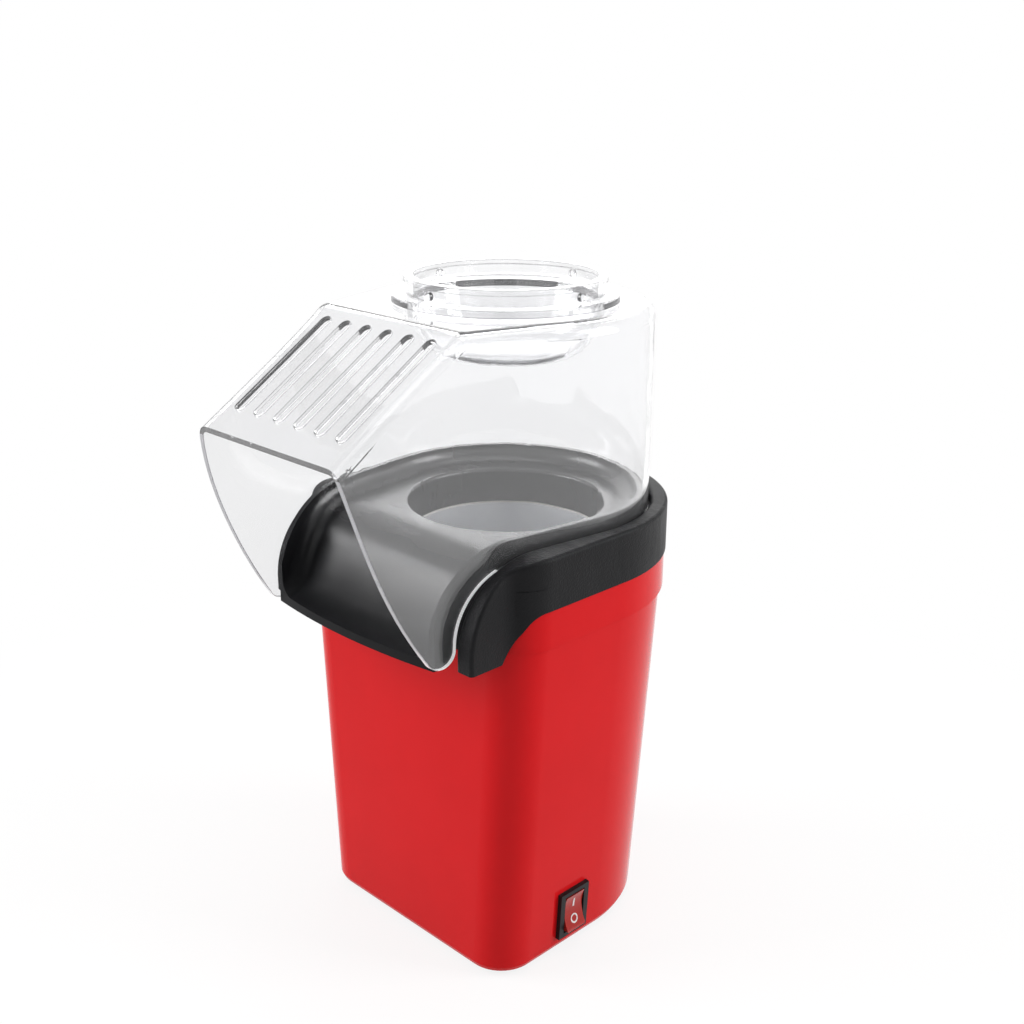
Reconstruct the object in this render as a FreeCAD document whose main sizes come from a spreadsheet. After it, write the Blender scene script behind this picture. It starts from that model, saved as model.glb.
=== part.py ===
import FreeCAD, Part
import Sketcher
import math
import os
import re

from FreeCAD import Placement, Rotation, Vector

# A hot-air popcorn maker: +Z up, the popping chamber on the Z axis, the chute towards -Y,
# the switch on the +X side, and the table at Z = 0. The pieces are written with the origin
# moved along Y to the middle of the whole object.

# Driving sizes in millimetres, degrees or counts
SIZES = {
    # stance and red housing
    "foot_height": "3.4",
    "foot_radius": "6",
    "foot_inset": "13",
    "foot_angle": "38.5",
    "shell_gap": "2",
    "low_margin": "1.7",
    "band_step": "1.4",
    "band_inset": "0.6",
    "body_corner": "16",
    "band_height": "15.6",
    "collar_level": "163.6",
    "shell_wall": "2.2",
    "shell_round": "2.5",
    "base_thickness": "2.4",
    "base_clearance": "0.3",
    "intake_inner": "11",
    "intake_outer": "30",
    "intake_width": "4",
    "intake_count": "14",
    "boss_radius": "5",
    "boss_height": "14",
    "boss_inset": "3.2",
    "boss_front": "38",
    "boss_angle": "40",
    # self-tapping screws
    "screw_radius": "1.5",
    "screw_head": "2.8",
    "screw_head_height": "1.6",
    "screw_clearance": "0.05",
    "screw_length": "9",
    "screw_bite": "5",
    # black collar with its two front arms
    "collar_height": "20.9",
    "collar_round": "1.5",
    "collar_wall": "3",
    "collar_rail": "7",
    "collar_lip_round": "2",
    "shelf_drop": "4.1",
    "arm_setback": "7.6",
    "arm_blend_round": "8",
    "arm_reach": "17.9",
    "arm_drop": "18.3",
    "arm_round": "34",
    "arm_sole_reach": "2.4",
    "arm_slope_angle": "58",
    "arm_heel_round": "9",
    "ledge_rise": "9.4",
    "ledge_thickness": "3",
    "ledge_gap": "0.5",
    "ledge_clearance": "0.25",
    "shelf_thickness": "3",
    "wall_bite": "1",
    "skirt_depth": "6",
    "skirt_wall": "2",
    # chute tray
    "tray_gap": "0.5",
    "tray_wall": "2.4",
    "rim_rise": "7",
    "rim_setback": "7.7",
    "ear_shoulder_reach": "15.5",
    "ear_shoulder_drop": "11",
    "ear_reach": "25",
    "ear_front_drop": "28",
    "deck_rise": "9",
    "deck_cove": "6",
    "hole_margin": "0.4",
    "hole_round": "1.5",
    "neck_wall": "2.6",
    "crest_setback": "11.7",
    "crest_round": "22",
    "chute_angle": "62",
    "lip_angle": "10",
    "lip_overhang": "24.5",
    "lip_bow": "3.6",
    "lip_drop": "32.5",
    "lip_thickness": "4",
    "lip_depth": "6",
    "lip_wall": "3",
    "sill_half_width": "45",
    "tray_boss_radius": "2.8",
    "tray_boss_inset": "3.3",
    "ledge_margin": "0.2",
    "tray_front_angle": "20",
    "tray_back_angle": "45",
    "chamber_boss_offset": "6.5",
    # clear hood
    "hood_gap": "0.9",
    "hood_wall": "2",
    "hood_round": "6",
    "hood_lean_ratio": "0.13",
    "lean_height": "65.5",
    "lean_extra_ratio": "0.2145",
    "hood_rise": "81",
    "panel_top_reach": "2.3",
    "panel_reach": "60.5",
    "panel_drop": "37.7",
    "front_bulge": "49.5",
    "front_bulge_drop": "75.5",
    "tongue_setback": "10.7",
    "tongue_sweep": "27.4",
    "tongue_tip": "6.4",
    "tongue_turn_angle": "147",
    "hood_clearance": "0.25",
    "ring_width": "6.4",
    "ring_height": "2.8",
    "slot_count": "6",
    "slot_pitch": "11.9",
    "slot_width": "4.6",
    "slot_margin": "5",
    "slot_run": "43.6",
    # measuring cup
    "cup_proud": "6.7",
    "cup_rim_step": "0.5",
    "cup_rim_height": "2.2",
    "cup_band_step": "1.5",
    "cup_radius": "38.4",
    "cup_taper": "4.4",
    "cup_depth": "32",
    "cup_wall": "1.8",
    "cup_round": "13",
    "cup_clearance": "0.7",
    "cup_lift_gap": "0.1",
    "cup_lug_count": "4",
    "cup_lug_radius": "1.6",
    "cup_lug_length": "1.4",
    # popping chamber, heater and duct
    "chamber_radius": "40",
    "chamber_wall": "0.9",
    "heater_space": "27",
    "chamber_round": "7",
    "chamber_flange_width": "10",
    "gasket_thickness": "1",
    "neck_depth": "15",
    "louvre_count": "18",
    "louvre_height": "16",
    "louvre_width": "3.2",
    "louvre_angle": "32",
    "louvre_rise": "9",
    "duct_space": "5.6",
    "duct_wall": "0.8",
    "duct_lap": "29",
    "duct_flange_width": "8.5",
    "duct_gap": "0.5",
    "duct_screw_inset": "3.3",
    "duct_ledge": "2.5",
    "coil_wire": "4",
    "coil_start": "13",
    "coil_pitch": "7",
    "coil_turns": "3",
    "coil_rise": "14",
    "mica_thickness": "1.2",
    "thermostat_radius": "8",
    "thermostat_height": "5",
    "fuse_radius": "2.4",
    "fuse_length": "7.2",
    # fan and motor
    "fan_depth": "22",
    "fan_floor_thickness": "2",
    "fan_wall": "2",
    "fan_throat": "34",
    "fan_eye": "4.2",
    "fan_intake_inner": "17",
    "fan_intake_outer": "28",
    "fan_intake_count": "4",
    "fan_arm_width": "6",
    "fan_radius": "31",
    "fan_gap": "3",
    "fan_plate": "1.6",
    "fan_blade_height": "9",
    "fan_blade_width": "1.4",
    "fan_blade_sweep": "3",
    "fan_blade_count": "10",
    "fan_hub": "5",
    "motor_radius": "13.9",
    "motor_length": "31",
    "motor_gap": "7.2",
    "motor_wall": "0.9",
    "motor_neck_height": "2",
    "motor_screw_ring": "8",
    "shaft_radius": "1.15",
    "shaft_fit": "0.03",
    "bush_radius": "2.8",
    "magnet_thickness": "2.6",
    "air_gap": "0.6",
    "armature_length": "17",
    "commutator_length": "4",
    "commutator_radius": "2.5",
    "magnet_overhang": "1",
    "magnet_gap": "7",
    "end_cap_thickness": "3",
    "board_radius": "12",
    "board_thickness": "1.6",
    "board_gap": "2.4",
    "pin_radius": "0.5",
    "diode_radius": "1.35",
    "diode_length": "5",
    "diode_spread": "4",
    # rocker switch and cord inlet
    "switch_forward": "17.7",
    "switch_level": "18.6",
    "switch_high": "21.6",
    "switch_wide": "16.6",
    "bezel_thickness": "2",
    "switch_body_high": "18.8",
    "switch_body_wide": "12.8",
    "switch_depth": "13",
    "cutout_clearance": "0.25",
    "rocker_high": "16",
    "rocker_wide": "10.6",
    "rocker_clearance": "0.8",
    "rocker_angle": "7",
    "rocker_proud": "1.3",
    "rocker_drop": "6",
    "rocker_dip": "1.9",
    "rocker_draft": "1",
    "pivot_depth": "1",
    "pivot_radius": "1",
    "pin_span": "11.8",
    "pin_play": "0.6",
    "blade_length": "8",
    "blade_wide": "4.8",
    "blade_pitch": "6.4",
    "blade_thickness": "0.8",
    "gland_level": "17",
    "gland_radius": "5",
    "gland_bore": "3.3",
    "gland_flange": "7.5",
    "gland_flange_thickness": "2",
    "gland_length": "7",
}

# Levels, widths and reaches that follow from the driving sizes
DERIVED = {
    # from the base up to the floor of the chamber
    "base_top": "foot_height + base_thickness",
    "motor_bottom": "base_top + motor_gap",
    "board_low": "motor_bottom - board_gap - board_thickness",
    "motor_top": "motor_bottom + motor_length",
    "fan_floor_level": "motor_top",
    "fan_plate_level": "fan_floor_level + fan_floor_thickness + fan_gap",
    "fan_top": "fan_plate_level + fan_plate + fan_blade_height",
    "duct_bottom": "fan_floor_level + fan_depth",
    "coil_level": "duct_bottom + coil_rise",
    "mica_top": "coil_level - 0.5 * coil_wire",
    "chamber_floor": "duct_bottom + heater_space",
    "duct_top": "chamber_floor + duct_lap",
    # from the collar up to the cup and down to the chamber's flange
    "step_level": "collar_level - band_height",
    "arm_bottom": "collar_level - arm_drop",
    "collar_top": "collar_level + collar_height",
    "ledge_level": "collar_level + ledge_rise",
    "deck_level": "ledge_level + deck_rise",
    "rim_level": "deck_level + rim_rise",
    "lip_top": "deck_level - lip_drop",
    "lip_bottom": "lip_top - lip_thickness",
    "shelf_level": "collar_top - shelf_drop",
    "neck_bottom": "deck_level - neck_depth",
    "flange_top": "neck_bottom - gasket_thickness",
    "hood_bottom": "shelf_level + hood_clearance",
    "hood_top": "collar_top + hood_rise",
    "lean_start": "hood_top - lean_height",
    "panel_low": "hood_top - panel_drop",
    "front_bulge_level": "hood_top - front_bulge_drop",
    "ring_top": "hood_top + ring_height",
    "cup_seat": "ring_top + cup_lift_gap",
    "cup_top": "ring_top + cup_proud",
    "cup_bottom": "cup_top - cup_depth",
    # radii and the housing's front, from the chamber outwards
    "hole_radius": "chamber_radius + hole_margin",
    "chamber_boss_ring": "chamber_radius + chamber_boss_offset",
    "chamber_flange": "chamber_radius + chamber_flange_width",
    "duct_radius": "chamber_radius + chamber_wall + duct_space",
    "duct_flange": "duct_radius + duct_flange_width",
    "duct_screw_ring": "duct_flange - duct_screw_inset",
    "body_front": "duct_flange + duct_gap + shell_wall",
    "collar_front": "body_front + band_inset",
    "collar_corner": "body_corner + collar_half_width - band_half_width",
    "arm_front": "body_front + arm_reach",
    "arm_sole": "body_front + arm_sole_reach",
    "tongue_start": "body_front - tongue_setback",
    "crest": "body_front - crest_setback",
    "rim_front": "body_front - rim_setback",
    "ear_shoulder": "body_front + ear_shoulder_reach",
    "ear_front": "body_front + ear_reach",
    "lip_reach": "body_front + lip_overhang",
    "panel_top": "body_front + panel_top_reach",
    "panel_front": "body_front + panel_reach",
    "front_bulge_reach": "body_front + front_bulge",
    "slot_start": "panel_top + slot_margin",
    "slot_end": "slot_start + slot_run",
    # widths, from the chamber's flange outwards
    "ledge_hole": "chamber_flange + ledge_gap",
    "tray_boss_ring": "ledge_hole + tray_boss_radius + ledge_margin",
    "tray_radius": "tray_boss_ring + tray_boss_inset",
    "hood_radius": "tray_radius + tray_gap + hood_wall",
    "collar_inner": "hood_radius + hood_gap",
    "collar_half_width": "collar_inner + collar_rail",
    "arm_half_width": "collar_half_width - arm_setback",
    "band_half_width": "collar_half_width - band_inset",
    "step_half_width": "band_half_width - band_step",
    "low_half_width": "duct_flange + low_margin",
    "ring_bore": "cup_radius + cup_clearance",
    "ring_radius": "ring_bore + ring_width",
    "cup_band_radius": "cup_radius + cup_band_step",
    "cup_rim_radius": "cup_band_radius + cup_rim_step",
    "cup_low_radius": "cup_radius - cup_taper",
    # base, housing wall and motor
    "base_half_width": "low_half_width - shell_wall - base_clearance",
    "base_front": "body_front - shell_wall - base_clearance",
    "boss_reach": "base_half_width - boss_inset",
    "shell_rise": "step_level - shell_gap",
    "shell_flare": "step_half_width - low_half_width",
    "magnet_outer": "motor_radius - motor_wall - shaft_fit",
    "magnet_inner": "magnet_outer - magnet_thickness",
    "armature_radius": "magnet_inner - air_gap",
    "armature_low": "motor_bottom + end_cap_thickness + commutator_length + magnet_overhang",
    # the written pieces have their origin under the middle of the whole object
    "frame_shift": "0.5 * (panel_front - collar_half_width)",
}

# How close a point counts as lying on a face or edge
NEAR = 0.05

doc = FreeCAD.newDocument("popcorn_maker")
sheet = doc.addObject("Spreadsheet::Sheet", "Sizes")
work = doc.addObject("Spreadsheet::Sheet", "Work")
nodes = []


def fill_sheet():
    row = 0
    for alias, number in SIZES.items():
        row += 1
        sheet.set(f"A{row}", alias)
        sheet.set(f"B{row}", number)
        sheet.setAlias(f"B{row}", alias)
    for alias, formula in DERIVED.items():
        row += 1
        sheet.set(f"A{row}", alias)
        sheet.set(f"B{row}", "=" + formula)
        sheet.setAlias(f"B{row}", alias)
    doc.recompute()


def bound(text):
    """Turn an expression in plain aliases into one that reads the sheet."""
    return re.sub(r"\b[a-z_]+\b(?!\()", lambda word: "Sizes." + word.group(0), text)


def value(text):
    """The number that an expression in plain aliases gives."""
    work.set("A1", "=" + bound(text))
    work.recompute()
    return float(work.get("A1"))


def keep(item, label):
    """Make an object one of the pieces that are written out."""
    item.Label = label
    nodes.append(item)
    return item


# Sketches and features bound to the sheet
def new_body(label):
    return keep(doc.addObject("PartDesign::Body", "body_" + label), label)


def new_sketch(body, name, role, offset="0"):
    plane = [item for item in body.Origin.OriginFeatures if item.Role == role][0]
    sketch = body.newObject("Sketcher::SketchObject", name)
    sketch.AttachmentSupport = [(plane, "")]
    sketch.MapMode = "FlatFace"
    sketch.setExpression("AttachmentOffset.Base.z", bound(offset))
    return sketch


def constrain(sketch, kind, *places, size):
    index = sketch.addConstraint(Sketcher.Constraint(kind, *places, value(size)))
    sketch.setExpression(f"Constraints[{index}]", bound(size))


def draw_polygon(sketch, corners):
    """A closed outline: each corner is a pair of expressions, with a third where it is rounded."""
    places = [Vector(value(corner[0]), value(corner[1]), 0) for corner in corners]
    count = len(corners)
    lines = [[places[index], places[(index + 1) % count]] for index in range(count)]
    bends = {}
    for index, corner in enumerate(corners):
        if len(corner) == 3:
            before = (places[index] - places[index - 1]).normalize()
            after = (places[(index + 1) % count] - places[index]).normalize()
            left = before.cross(after).z > 0
            radius = value(corner[2])
            reach = radius * math.tan(0.5 * before.getAngle(after))
            lines[index - 1][1] = places[index] - before * reach
            lines[index][0] = places[index] + after * reach
            normal = Vector(-before.y, before.x, 0) * (radius if left else -radius)
            hub = lines[index - 1][1] + normal
            ends = [lines[index - 1][1] - hub, lines[index][0] - hub]
            angles = [math.atan2(end.y, end.x) for end in (ends if left else ends[::-1])]
            bends[index] = (Part.ArcOfCircle(Part.Circle(hub, Vector(0, 0, 1), radius), *angles), left)
    for ends in lines:
        sketch.addGeometry(Part.LineSegment(*ends))
    for index, (x, y, *radius) in enumerate(corners):
        before = (index - 1) % count
        if not radius:
            sketch.addConstraint(Sketcher.Constraint("Coincident", before, 2, index, 1))
            constrain(sketch, "DistanceX", -1, 1, index, 1, size=x)
            constrain(sketch, "DistanceY", -1, 1, index, 1, size=y)
            continue
        arc, left = bends[index]
        bend = sketch.addGeometry(arc)
        mark = sketch.addGeometry(Part.Point(places[index]), True)
        start, end = (1, 2) if left else (2, 1)
        sketch.addConstraint(Sketcher.Constraint("Tangent", before, 2, bend, start))
        sketch.addConstraint(Sketcher.Constraint("Tangent", bend, end, index, 1))
        sketch.addConstraint(Sketcher.Constraint("PointOnObject", mark, 1, before))
        sketch.addConstraint(Sketcher.Constraint("PointOnObject", mark, 1, index))
        constrain(sketch, "DistanceX", -1, 1, mark, 1, size=x)
        constrain(sketch, "DistanceY", -1, 1, mark, 1, size=y)
        constrain(sketch, "Radius", bend, size=radius[0])


def draw_circle(sketch, x, y, radius):
    circle = Part.Circle(Vector(value(x), value(y), 0), Vector(0, 0, 1), value(radius))
    index = sketch.addGeometry(circle)
    constrain(sketch, "DistanceX", -1, 1, index, 3, size=x)
    constrain(sketch, "DistanceY", -1, 1, index, 3, size=y)
    constrain(sketch, "Radius", index, size=radius)


def draw_housing_plan(sketch, half_width, front, corner):
    """The housing's plan: a half circle behind, straight sides and a front with round corners."""
    wide, deep, bend = value(half_width), value(front), value(corner)
    turn = math.pi / 2
    up = Vector(0, 0, 1)

    def arc(x, y, radius, start):
        span = 2 * turn if start == 0 else turn
        return Part.ArcOfCircle(Part.Circle(Vector(x, y, 0), up, radius), start, start + span)

    def line(*ends):
        return Part.LineSegment(*[Vector(x, y, 0) for x, y in ends])

    inner = wide - bend
    sketch.addGeometry(arc(0, 0, wide, 0))
    sketch.addGeometry(line((-wide, 0), (-wide, bend - deep)))
    sketch.addGeometry(arc(-inner, bend - deep, bend, 2 * turn))
    sketch.addGeometry(line((-inner, -deep), (inner, -deep)))
    sketch.addGeometry(arc(inner, bend - deep, bend, 3 * turn))
    sketch.addGeometry(line((wide, bend - deep), (wide, 0)))
    for index in range(6):
        sketch.addConstraint(Sketcher.Constraint("Tangent", index, 2, (index + 1) % 6, 1))
    sketch.addConstraint(Sketcher.Constraint("Coincident", 0, 3, -1, 1))
    sketch.addConstraint(Sketcher.Constraint("Vertical", 1))
    sketch.addConstraint(Sketcher.Constraint("Vertical", 5))
    sketch.addConstraint(Sketcher.Constraint("Horizontal", 3))
    sketch.addConstraint(Sketcher.Constraint("Equal", 2, 4))
    constrain(sketch, "Radius", 0, size=half_width)
    constrain(sketch, "Radius", 2, size=corner)
    constrain(sketch, "DistanceY", -1, 1, 3, 1, size=f"-({front})")


def housing_plan(body, name, level, half_width, front, corner):
    sketch = new_sketch(body, name, "XY_Plane", level)
    draw_housing_plan(sketch, half_width, front, corner)
    return sketch


def pad(body, name, sketch, length, both_ways=False):
    feature = body.newObject("PartDesign::Pad", name)
    feature.Profile = sketch
    feature.Midplane = both_ways
    feature.setExpression("Length", bound(length))
    return feature


def pocket(body, name, sketch, length, turned_round=False):
    doc.recompute()
    before = body.Shape.Volume
    feature = body.newObject("PartDesign::Pocket", name)
    feature.Profile = sketch
    feature.Reversed = turned_round
    feature.setExpression("Length", bound(length))
    doc.recompute()
    if body.Shape.Volume > before - 1e-6:
        raise RuntimeError(f"{name} cuts nothing")
    return feature


def loft(body, name, kind, sections):
    feature = body.newObject("PartDesign::" + kind, name)
    feature.Profile = sections[0]
    feature.Sections = sections[1:]
    feature.Ruled = True
    return feature


def around(body, name, original, count):
    """Repeat a feature evenly about the Z axis."""
    axis = [item for item in body.Origin.OriginFeatures if item.Role == "Z_Axis"][0]
    pattern = body.newObject("PartDesign::PolarPattern", name)
    pattern.Originals = [original]
    pattern.Axis = (axis, [""])
    pattern.Angle = 360
    pattern.setExpression("Occurrences", bound(count))
    body.Tip = pattern
    doc.recompute()
    return pattern


def turned(label, corners):
    """A piece turned about the Z axis from an outline of radius and height."""
    body = new_body(label)
    sketch = new_sketch(body, label + "_outline", "XZ_Plane")
    draw_polygon(sketch, corners)
    feature = body.newObject("PartDesign::Revolution", label + "_turned")
    feature.Profile = sketch
    feature.ReferenceAxis = (sketch, ["V_Axis"])
    feature.Angle = 360
    doc.recompute()
    return body


# Primitives bound to the sheet
def cylinder(name, radius, height, x="0", y="0", z="0"):
    item = doc.addObject("Part::Cylinder", name)
    item.setExpression("Radius", bound(radius))
    item.setExpression("Height", bound(height))
    place(item, x, y, z)
    return item


def box(name, length, width, height, x, y, z):
    item = doc.addObject("Part::Box", name)
    item.setExpression("Length", bound(length))
    item.setExpression("Width", bound(width))
    item.setExpression("Height", bound(height))
    place(item, x, y, z)
    return item


def place(item, x, y, z):
    for axis, amount in zip("xyz", (x, y, z)):
        item.setExpression("Placement.Base." + axis, bound(amount))


def fused(name, *items):
    joined = doc.addObject("Part::MultiFuse", name)
    joined.Shapes = list(items)
    return joined


def cut(name, base, tool):
    result = doc.addObject("Part::Cut", name)
    result.Base = base
    result.Tool = tool
    return result


def group(label, items):
    bundle = doc.addObject("Part::Compound", "group_" + label)
    bundle.Links = list(items)
    return keep(bundle, label)


def shaped(label, shape):
    item = doc.addObject("Part::Feature", "shape_" + label)
    item.Shape = shape
    return keep(item, label)


def screw(name, length):
    """A pan-head screw that points up, with the underside of its head at Z = 0."""
    head = cylinder(name + "_head", "screw_head", "screw_head_height", z="-screw_head_height")
    shank = cylinder(name + "_shank", "screw_radius", length)
    return fused(name, head, shank)


def screws(label, spots, length, pointing_down=False):
    items = []
    turn = Rotation(Vector(1, 0, 0), 180 if pointing_down else 0)
    for index, spot in enumerate(spots):
        item = screw(f"{label}_{index}", length)
        item.Placement = Placement(spot, turn)
        items.append(item)
    return group(label, items)


def ring_spots(radius, level, angles):
    far, high = value(radius), value(level)
    return [
        Vector(far * math.cos(math.radians(angle)), far * math.sin(math.radians(angle)), high)
        for angle in angles
    ]


# Outlines for the moulded pieces
def path(start, *steps):
    """A closed wire: a step is the end of a line, or the middle and end of an arc."""
    edges = []
    here = start
    for step in steps:
        if isinstance(step, tuple):
            middle, end = step
            edges.append(Part.Arc(here, middle, end).toShape())
        else:
            end = step
            edges.append(Part.LineSegment(here, end).toShape())
        here = end
    if (here - start).Length > 1e-6:
        edges.append(Part.LineSegment(here, start).toShape())
    return Part.Wire(edges)


def side(depth, height):
    return Vector(0, depth, height)


def across(wire):
    """A solid with a side-view outline, right across the object."""
    half = value("2 * collar_half_width")
    face = Part.Face(wire)
    face.translate(Vector(-half, 0, 0))
    return face.extrude(Vector(2 * half, 0, 0))


def upright(wire, height):
    return Part.Face(wire).extrude(Vector(0, 0, height))


def arc_point(centre, radius, degrees):
    angle = math.radians(degrees)
    return centre + side(radius * math.cos(angle), radius * math.sin(angle))


def tapered_plan(radius, lean, level, reach, bow=0):
    """A plan with a round back and straight sides that close in towards the front."""
    slope = math.atan(lean)
    beside = Vector(radius * math.cos(slope), -radius * math.sin(slope), level)
    corner = Vector(radius / math.cos(slope) - reach * lean, -reach, level)
    facing = Vector(-beside.x, beside.y, level)
    corner_left = Vector(-corner.x, corner.y, level)
    back = (Vector(0, radius, level), facing)
    front = (Vector(0, -reach - bow, level), corner) if bow else corner
    return path(beside, back, corner_left, front, beside)


def housing_wire(half_width, front, corner, level):
    inner = half_width - corner
    knee = corner - front
    diagonal = corner * math.sqrt(0.5)

    def spot(x, y):
        return Vector(x, y, level)

    return path(
        spot(half_width, 0),
        (spot(0, half_width), spot(-half_width, 0)),
        spot(-half_width, knee),
        (spot(-inner - diagonal, knee - diagonal), spot(-inner, -front)),
        spot(inner, -front),
        (spot(inner + diagonal, knee - diagonal), spot(half_width, knee)),
        spot(half_width, 0),
    )


# Red housing and what closes it below
def wall_half_width(level):
    return f"(low_half_width + shell_flare * ({level} - shell_gap) / shell_rise)"


def base_screw_spots(level):
    angle = value("boss_angle")
    spots = ring_spots("boss_reach", level, (angle, 180 - angle))
    for hand in (1, -1):
        spots.append(Vector(hand * value("boss_reach"), -value("boss_front"), value(level)))
    return spots


def boss_centres():
    centres = []
    for hand in ("1", "-1"):
        centres.append((f"{hand} * boss_reach * cos(boss_angle)", "boss_reach * sin(boss_angle)"))
        centres.append((f"{hand} * boss_reach", "-boss_front"))
    return centres


def make_housing():
    body = new_body("housing_shell")
    wires = []
    for rise, inset in (("0", "1"), ("0.3", "0.3"), ("1", "0")):
        level = f"shell_gap + {rise} * shell_round"
        plan = [
            f"{wall_half_width(f'({level})')} - {inset} * shell_round",
            f"body_front - {inset} * shell_round",
            f"body_corner - {inset} * shell_round",
        ]
        wires.append(housing_plan(body, f"outer_{len(wires)}", level, *plan))
    plan = ("step_half_width", "body_front", "body_corner")
    wires.append(housing_plan(body, "outer_top", "step_level", *plan))
    loft(body, "taper", "AdditiveLoft", wires)
    band = housing_plan(body, "band", "step_level", "band_half_width", "body_front", "body_corner")
    pad(body, "band_pad", band, "collar_level - step_level")
    wires = []
    for level, wide in (("shell_gap", "low_half_width"), ("step_level", "step_half_width")):
        plan = (f"{wide} - shell_wall", "body_front - shell_wall", "body_corner - shell_wall")
        wires.append(housing_plan(body, f"inner_{len(wires)}", level, *plan))
    loft(body, "hollow", "SubtractiveLoft", wires)
    plan = ("band_half_width - shell_wall", "body_front - shell_wall", "body_corner - shell_wall")
    mouth = housing_plan(body, "mouth", "step_level", *plan)
    pocket(body, "mouth_cut", mouth, "collar_level - step_level", turned_round=True)
    posts = new_sketch(body, "posts", "XY_Plane", "base_top")
    bores = new_sketch(body, "bores", "XY_Plane", "base_top")
    for x, y in boss_centres():
        draw_circle(posts, x, y, "boss_radius")
        draw_circle(bores, x, y, "screw_radius + screw_clearance")
    pad(body, "post_pad", posts, "boss_height")
    pocket(body, "bore_cut", bores, "boss_height - shell_wall", turned_round=True)
    window = new_sketch(body, "window", "YZ_Plane", "low_half_width - 2 * shell_wall")
    half_wide = "(0.5 * switch_body_wide + cutout_clearance)"
    half_high = "(0.5 * switch_body_high + cutout_clearance)"
    draw_polygon(window, [
        (f"-switch_forward - {half_wide}", f"switch_level - {half_high}"),
        (f"-switch_forward + {half_wide}", f"switch_level - {half_high}"),
        (f"-switch_forward + {half_wide}", f"switch_level + {half_high}"),
        (f"-switch_forward - {half_wide}", f"switch_level + {half_high}"),
    ])
    pocket(body, "window_cut", window, "6 * shell_wall", turned_round=True)
    inlet = new_sketch(body, "inlet", "XZ_Plane", "2 * shell_wall - low_half_width")
    draw_circle(inlet, "0", "gland_level", "gland_radius + cutout_clearance")
    pocket(body, "inlet_cut", inlet, "6 * shell_wall")


def make_base():
    body = new_body("base_plate")
    plan = ("base_half_width", "base_front", "body_corner - shell_wall - base_clearance")
    pad(body, "plate", housing_plan(body, "plate_plan", "foot_height", *plan), "base_thickness")
    doc.recompute()
    holes = new_sketch(body, "screw_holes", "XY_Plane", "base_top")
    for x, y in boss_centres():
        draw_circle(holes, x, y, "screw_radius + screw_clearance")
    pocket(body, "screw_hole_cut", holes, "base_thickness")
    intake = new_sketch(body, "intake", "XY_Plane", "base_top")
    draw_polygon(intake, [
        ("intake_inner", "-0.2 * intake_width"),
        ("intake_outer", "-0.5 * intake_width"),
        ("intake_outer", "0.5 * intake_width"),
        ("intake_inner", "0.2 * intake_width"),
    ])
    slot = pocket(body, "intake_cut", intake, "base_thickness")
    around(body, "intake_ring", slot, "intake_count")
    screws("base_screws", base_screw_spots("foot_height"), "base_thickness + screw_length")
    feet = []
    far = "(base_half_width - foot_inset)"
    for hand in ("1", "-1"):
        for x, y in (
            (far, "foot_inset - base_front"),
            (f"{far} * cos(foot_angle)", f"{far} * sin(foot_angle)"),
        ):
            name = f"foot_{len(feet)}"
            feet.append(cylinder(name, "foot_radius", "foot_height", x=f"{hand} * {x}", y=y))
    group("rubber_feet", feet)


# Black collar that carries the hood and the tray
def collar_side():
    """Side view of the collar with one arm that drops in front of the housing."""
    top = value("collar_top")
    base = value("collar_level")
    front = value("arm_front")
    bottom = value("arm_bottom")
    bend = value("arm_round")
    slope = value("arm_slope_angle")
    turn = value("arm_heel_round")
    sole = side(-value("arm_sole"), bottom)
    corner = sole.y + (base - bottom) / math.tan(math.radians(slope))
    heel_hub = side(corner + turn * math.tan(math.radians(0.5 * slope)), base - turn)
    hub = side(-front + bend, top - bend)
    return path(
        side(2 * front, base),
        arc_point(heel_hub, turn, 90),
        (arc_point(heel_hub, turn, 90 + 0.5 * slope), arc_point(heel_hub, turn, 90 + slope)),
        sole,
        side(-front, bottom),
        side(-front, hub.z),
        (arc_point(hub, bend, 135), side(hub.y, top)),
        side(2 * front, top),
    )


def tongue_side(shift):
    """The hood's lower edge in side view, moved down by a shift, as points from back to front."""
    start = value("tongue_start")
    sweep = value("tongue_sweep")
    hub = side(-start, value("hood_bottom") - sweep)
    radius = sweep - shift
    return hub, radius


def collar_plan():
    """Plan of the collar: a round back, sides, front corners, and arms that blend out of them."""
    wide = value("collar_half_width")
    front = value("arm_front")
    arm = value("arm_half_width")
    corner = value("collar_corner")
    blend = value("arm_blend_round")
    start = value("body_front - body_corner")
    hub = Vector(wide - corner, -start, 0)
    over = arm + blend - hub.x
    blend_hub = hub + Vector(over, -math.sqrt((corner + blend) ** 2 - over ** 2), 0)
    meet = math.degrees(math.atan2(blend_hub.y - hub.y, over))
    bent = hub + Vector(corner, 0, 0)

    def spot(around, radius, angle, hand):
        turned = math.radians(angle)
        place = around + radius * Vector(math.cos(turned), math.sin(turned), 0)
        return Vector(hand * place.x, place.y, 0)

    def outward(hand):
        return [
            Vector(hand * bent.x, bent.y, 0),
            spot(hub, corner, 0.5 * meet, hand),
            spot(hub, corner, meet, hand),
            spot(blend_hub, blend, 180 + 0.5 * meet, hand),
            spot(blend_hub, blend, 180, hand),
        ]

    left, right = outward(-1), outward(1)
    return path(
        Vector(wide, 0, 0),
        (Vector(0, wide, 0), Vector(-wide, 0, 0)),
        left[0],
        (left[1], left[2]),
        (left[3], left[4]),
        Vector(-arm, -front, 0),
        Vector(arm, -front, 0),
        right[4],
        (right[3], right[2]),
        (right[1], right[0]),
    )


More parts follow.
